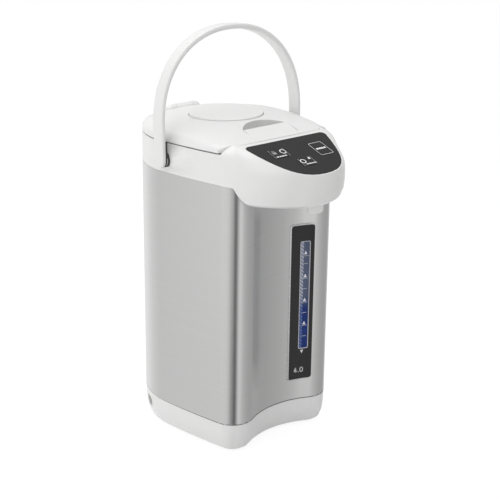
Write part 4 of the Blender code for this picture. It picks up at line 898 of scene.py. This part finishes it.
def dress_nodes():
    """A finished material on every node, and the pieces added to the housing and the bail"""
    white = white_plastic()
    make_bail(white)
    # Dark material of the lips and collars beside the bail's feet: painted shade in the gaps next to the
    # housing wall
    gap_shade = plain_moulded("gap_shade_dark", (0.05, 0.05, 0.05), 0.7)
    make_shade_lips(gap_shade)
    make_shade_collars(gap_shade)
    make_fairings(white)
    make_hinge_caps(white)
    make_joint_rings()
    shells = (("top_housing", "pot"), ("base_cover", "pot"), ("head_cover", "pot"), ("spout_nozzle", "pot"),
              ("hinge_cover", "pot"), ("lid_top", "lid"), ("pump_plate", "pump"), ("latch_lever", "lever"))
    for node, body in shells:
        shell(node, body, white)
    shell("steel_casing", "pot", brushed_steel())
    black = black_sheet("panel_black", 0.009, 0.42, 0.17)
    shell("control_panel", "pot", black)
    for k, body in enumerate(("first_key", "second_key", "third_key")):
        shell(f"key_{k + 1}", body, black)
    shell("gauge_plate", "pot", black_sheet("gauge_black", 0.018, 0.4, 0.42))
    shell("gauge_window", "pot", window_blue())
    clad(("foot_1", "foot_2", "foot_3", "foot_4"), plain_moulded("foot_rubber", (0.04, 0.04, 0.04), 0.75))
    clad(("power_inlet",), plain_moulded("inlet_grey", (0.76, 0.76, 0.76), 0.5))
    clad(("bottom_plate", "thermostat", "switch_1", "switch_2", "switch_3", "water_pump", "relay"),
         plain_moulded("grey_moulding", (0.33, 0.33, 0.335), 0.5))
    clad(("inner_pot",), satin_metal("pot_steel", (0.66, 0.66, 0.65), 0.28, (6.0, 6.0, 900.0)))
    clad(("lid_liner",), white_plastic("liner_white", 0.74, 0.42))
    clad(("pot_gasket", "lid_seal", "pump_bellows", "outlet_pipe", "drain_hose", "gauge_hose"),
         plain_moulded("silicone", (0.7, 0.7, 0.67), 0.55))
    clad(("gauge_tube",), clear_tube())
    clad(("heater_plate",), satin_metal("heater_metal", (0.5, 0.5, 0.5), 0.45, (60.0, 60.0, 60.0)))
    clad(("hinge_pin", "lever_pin", "pump_motor"),
         satin_metal("pin_steel", (0.7, 0.7, 0.7), 0.22, (400.0, 60.0, 60.0)))
    clad(("inlet_pin_1", "inlet_pin_2", "coil"),
         satin_metal("contact_brass", (0.6, 0.45, 0.2), 0.25, (80.0, 80.0, 80.0)))
    clad(("switch_board", "power_board"), plain_moulded("board_green", (0.02, 0.16, 0.07), 0.4))


# Room

def lamp(name, place, height, size, watts, mirrored):
    """Square lamp turned to a point on the pot's axis at a height"""
    data = bpy.data.lights.new(name, "AREA")
    data.shape = "RECTANGLE"
    data.size = size
    data.size_y = size
    data.energy = watts
    made = bpy.data.objects.new(name, data)
    made.location = place
    aim = Vector((0.0, 0.0, height)) - Vector(place)
    made.rotation_euler = aim.to_track_quat("-Z", "Y").to_euler()
    made.visible_camera = False
    made.visible_glossy = mirrored
    bpy.context.scene.collection.objects.link(made)


# What the glossy surfaces mirror: (degrees round from the front, tone), level and further down

room_tones = ((-175.0, 0.88), (-164.0, 0.79), (-142.0, 0.71), (-132.0, 0.735), (-126.0, 0.81),
              (-111.0, 0.89), (-87.0, 0.91), (-62.0, 0.90), (-44.0, 0.86), (-32.0, 0.18), (-21.0, 0.12),
              (-11.0, 0.68), (1.0, 1.0), (16.0, 0.66), (40.0, 0.51), (66.0, 0.44), (90.0, 0.44),
              (120.0, 0.75), (170.0, 0.97))
low_tones = ((-175.0, 0.90), (-164.0, 0.79), (-142.0, 0.71), (-132.0, 0.71), (-126.0, 0.70),
             (-111.0, 0.70), (-87.0, 0.68), (-71.0, 0.62), (-59.0, 0.32), (-50.0, 0.0), (-28.0, 0.0),
             (-18.0, 0.62), (-8.0, 0.95), (5.0, 0.52), (40.0, 0.47), (66.0, 0.44), (90.0, 0.45),
             (120.0, 0.75), (170.0, 0.97))
tones_high = -0.30
tones_low = -0.42
room_light = 0.63
overhead_start = 0.45
overhead_full = 0.85
overhead_tone = 1.0


def make_world():
    """White to the camera, even light on the object, soft light and dark fields for the steel to mirror"""
    world = bpy.data.worlds.new("studio")
    bpy.context.scene.world = world
    world.use_nodes = True
    tree = world.node_tree
    tree.nodes.clear()

    def node(kind, **values):
        made = tree.nodes.new("ShaderNode" + kind)
        for key, value in values.items():
            setattr(made, key, value)
        return made

    spot = node("TexCoord").outputs["Generated"]
    parts = node("SeparateXYZ")
    tree.links.new(spot, parts.inputs[0])
    flip = node("Math", operation="MULTIPLY")
    flip.inputs[1].default_value = -1.0
    tree.links.new(parts.outputs["Y"], flip.inputs[0])
    turn = node("Math", operation="ARCTAN2")
    tree.links.new(parts.outputs["X"], turn.inputs[0])
    tree.links.new(flip.outputs[0], turn.inputs[1])
    share = node("MapRange")
    share.inputs["From Min"].default_value = -math.pi
    share.inputs["From Max"].default_value = math.pi
    tree.links.new(turn.outputs[0], share.inputs["Value"])
    fields = node("Mix", data_type="RGBA")
    drop = node("MapRange")
    drop.inputs["From Min"].default_value = tones_high
    drop.inputs["From Max"].default_value = tones_low
    tree.links.new(parts.outputs["Z"], drop.inputs["Value"])
    tree.links.new(drop.outputs["Result"], fields.inputs[0])
    for socket, tones in ((6, room_tones), (7, low_tones)):
        ramp = node("ValToRGB")
        ramp.color_ramp.interpolation = "EASE"
        stops = ramp.color_ramp.elements
        while len(stops) > 1:
            stops.remove(stops[-1])
        for k, (angle, tone) in enumerate(tones):
            stop = stops[0] if k == 0 else stops.new((angle + 180.0) / 360.0)
            stop.position = (angle + 180.0) / 360.0
            stop.color = (tone, tone, tone, 1.0)
        tree.links.new(share.outputs["Result"], ramp.inputs["Fac"])
        tree.links.new(ramp.outputs["Color"], fields.inputs[socket])
    high = node("MapRange", interpolation_type="SMOOTHSTEP")
    high.inputs["From Min"].default_value = overhead_start
    high.inputs["From Max"].default_value = overhead_full
    tree.links.new(parts.outputs["Z"], high.inputs["Value"])
    overhead = node("Mix", data_type="RGBA")
    overhead.inputs[7].default_value = (overhead_tone, overhead_tone, overhead_tone, 1.0)
    tree.links.new(high.outputs["Result"], overhead.inputs[0])
    tree.links.new(fields.outputs[2], overhead.inputs[6])
    path = node("LightPath")
    mirrored = node("Background")
    tree.links.new(overhead.outputs[2], mirrored.inputs["Color"])
    even = node("Background")
    even.inputs["Color"].default_value = (1.0, 1.0, 1.0, 1.0)
    even.inputs["Strength"].default_value = room_light
    white = node("Background")
    white.inputs["Color"].default_value = (1.0, 1.0, 1.0, 1.0)
    first = node("MixShader")
    tree.links.new(path.outputs["Is Glossy Ray"], first.inputs["Fac"])
    tree.links.new(even.outputs[0], first.inputs[1])
    tree.links.new(mirrored.outputs[0], first.inputs[2])
    second = node("MixShader")
    tree.links.new(path.outputs["Is Camera Ray"], second.inputs["Fac"])
    tree.links.new(first.outputs[0], second.inputs[1])
    tree.links.new(white.outputs[0], second.inputs[2])
    out = node("OutputWorld")
    tree.links.new(second.outputs[0], out.inputs["Surface"])


floor_half = 6.0
floor_tone = 0.9
floor_roughness = 0.9
floor_gloss = 0.1
floor_white_share = 0.80
floor_white = 1.1
lamps = (("key_lamp", (-1.9, -0.6, 1.8), 0.3, 1.4, 9.5, False),
         ("side_lamp", (-2.1, 1.0, 0.7), 0.25, 1.2, 8.5, False),
         ("top_lamp", (0.2, 0.3, 2.2), 0.2, 1.8, 15.0, True))


def make_floor():
    """A wide pale floor: it shows white to the camera and keeps part of the object's shadow"""
    bm = bmesh.new()
    bm.faces.new([bm.verts.new((x * floor_half, y * floor_half, 0.0))
                  for x, y in ((-1, -1), (1, -1), (1, 1), (-1, 1))])
    mesh = bpy.data.meshes.new("floor")
    bm.to_mesh(mesh)
    bm.free()
    made = bpy.data.objects.new("floor", mesh)
    bpy.context.scene.collection.objects.link(made)
    pale = bpy.data.materials.new("pale_floor")
    pale.use_nodes = True
    tree = pale.node_tree
    shader = tree.nodes["Principled BSDF"]
    shader.inputs["Base Color"].default_value = shade(floor_tone)
    shader.inputs["Roughness"].default_value = floor_roughness
    shader.inputs["Specular IOR Level"].default_value = floor_gloss
    glow = tree.nodes.new("ShaderNodeEmission")
    glow.inputs["Strength"].default_value = floor_white
    mix = tree.nodes.new("ShaderNodeMixShader")
    path = tree.nodes.new("ShaderNodeLightPath")
    part = tree.nodes.new("ShaderNodeMath")
    part.operation = "MULTIPLY"
    part.inputs[1].default_value = floor_white_share
    tree.links.new(path.outputs["Is Camera Ray"], part.inputs[0])
    tree.links.new(part.outputs[0], mix.inputs["Fac"])
    tree.links.new(shader.outputs[0], mix.inputs[1])
    tree.links.new(glow.outputs[0], mix.inputs[2])
    tree.links.new(mix.outputs[0], tree.nodes["Material Output"].inputs["Surface"])
    mesh.materials.append(pale)
    made.visible_glossy = False


def make_room():
    """World, floor and lamps"""
    make_world()
    make_floor()
    for row in lamps:
        lamp(*row)


make_camera()
dress_nodes()
dress_gauge()
dress_keys()
make_room()
bpy.context.scene.view_settings.view_transform = "Standard"
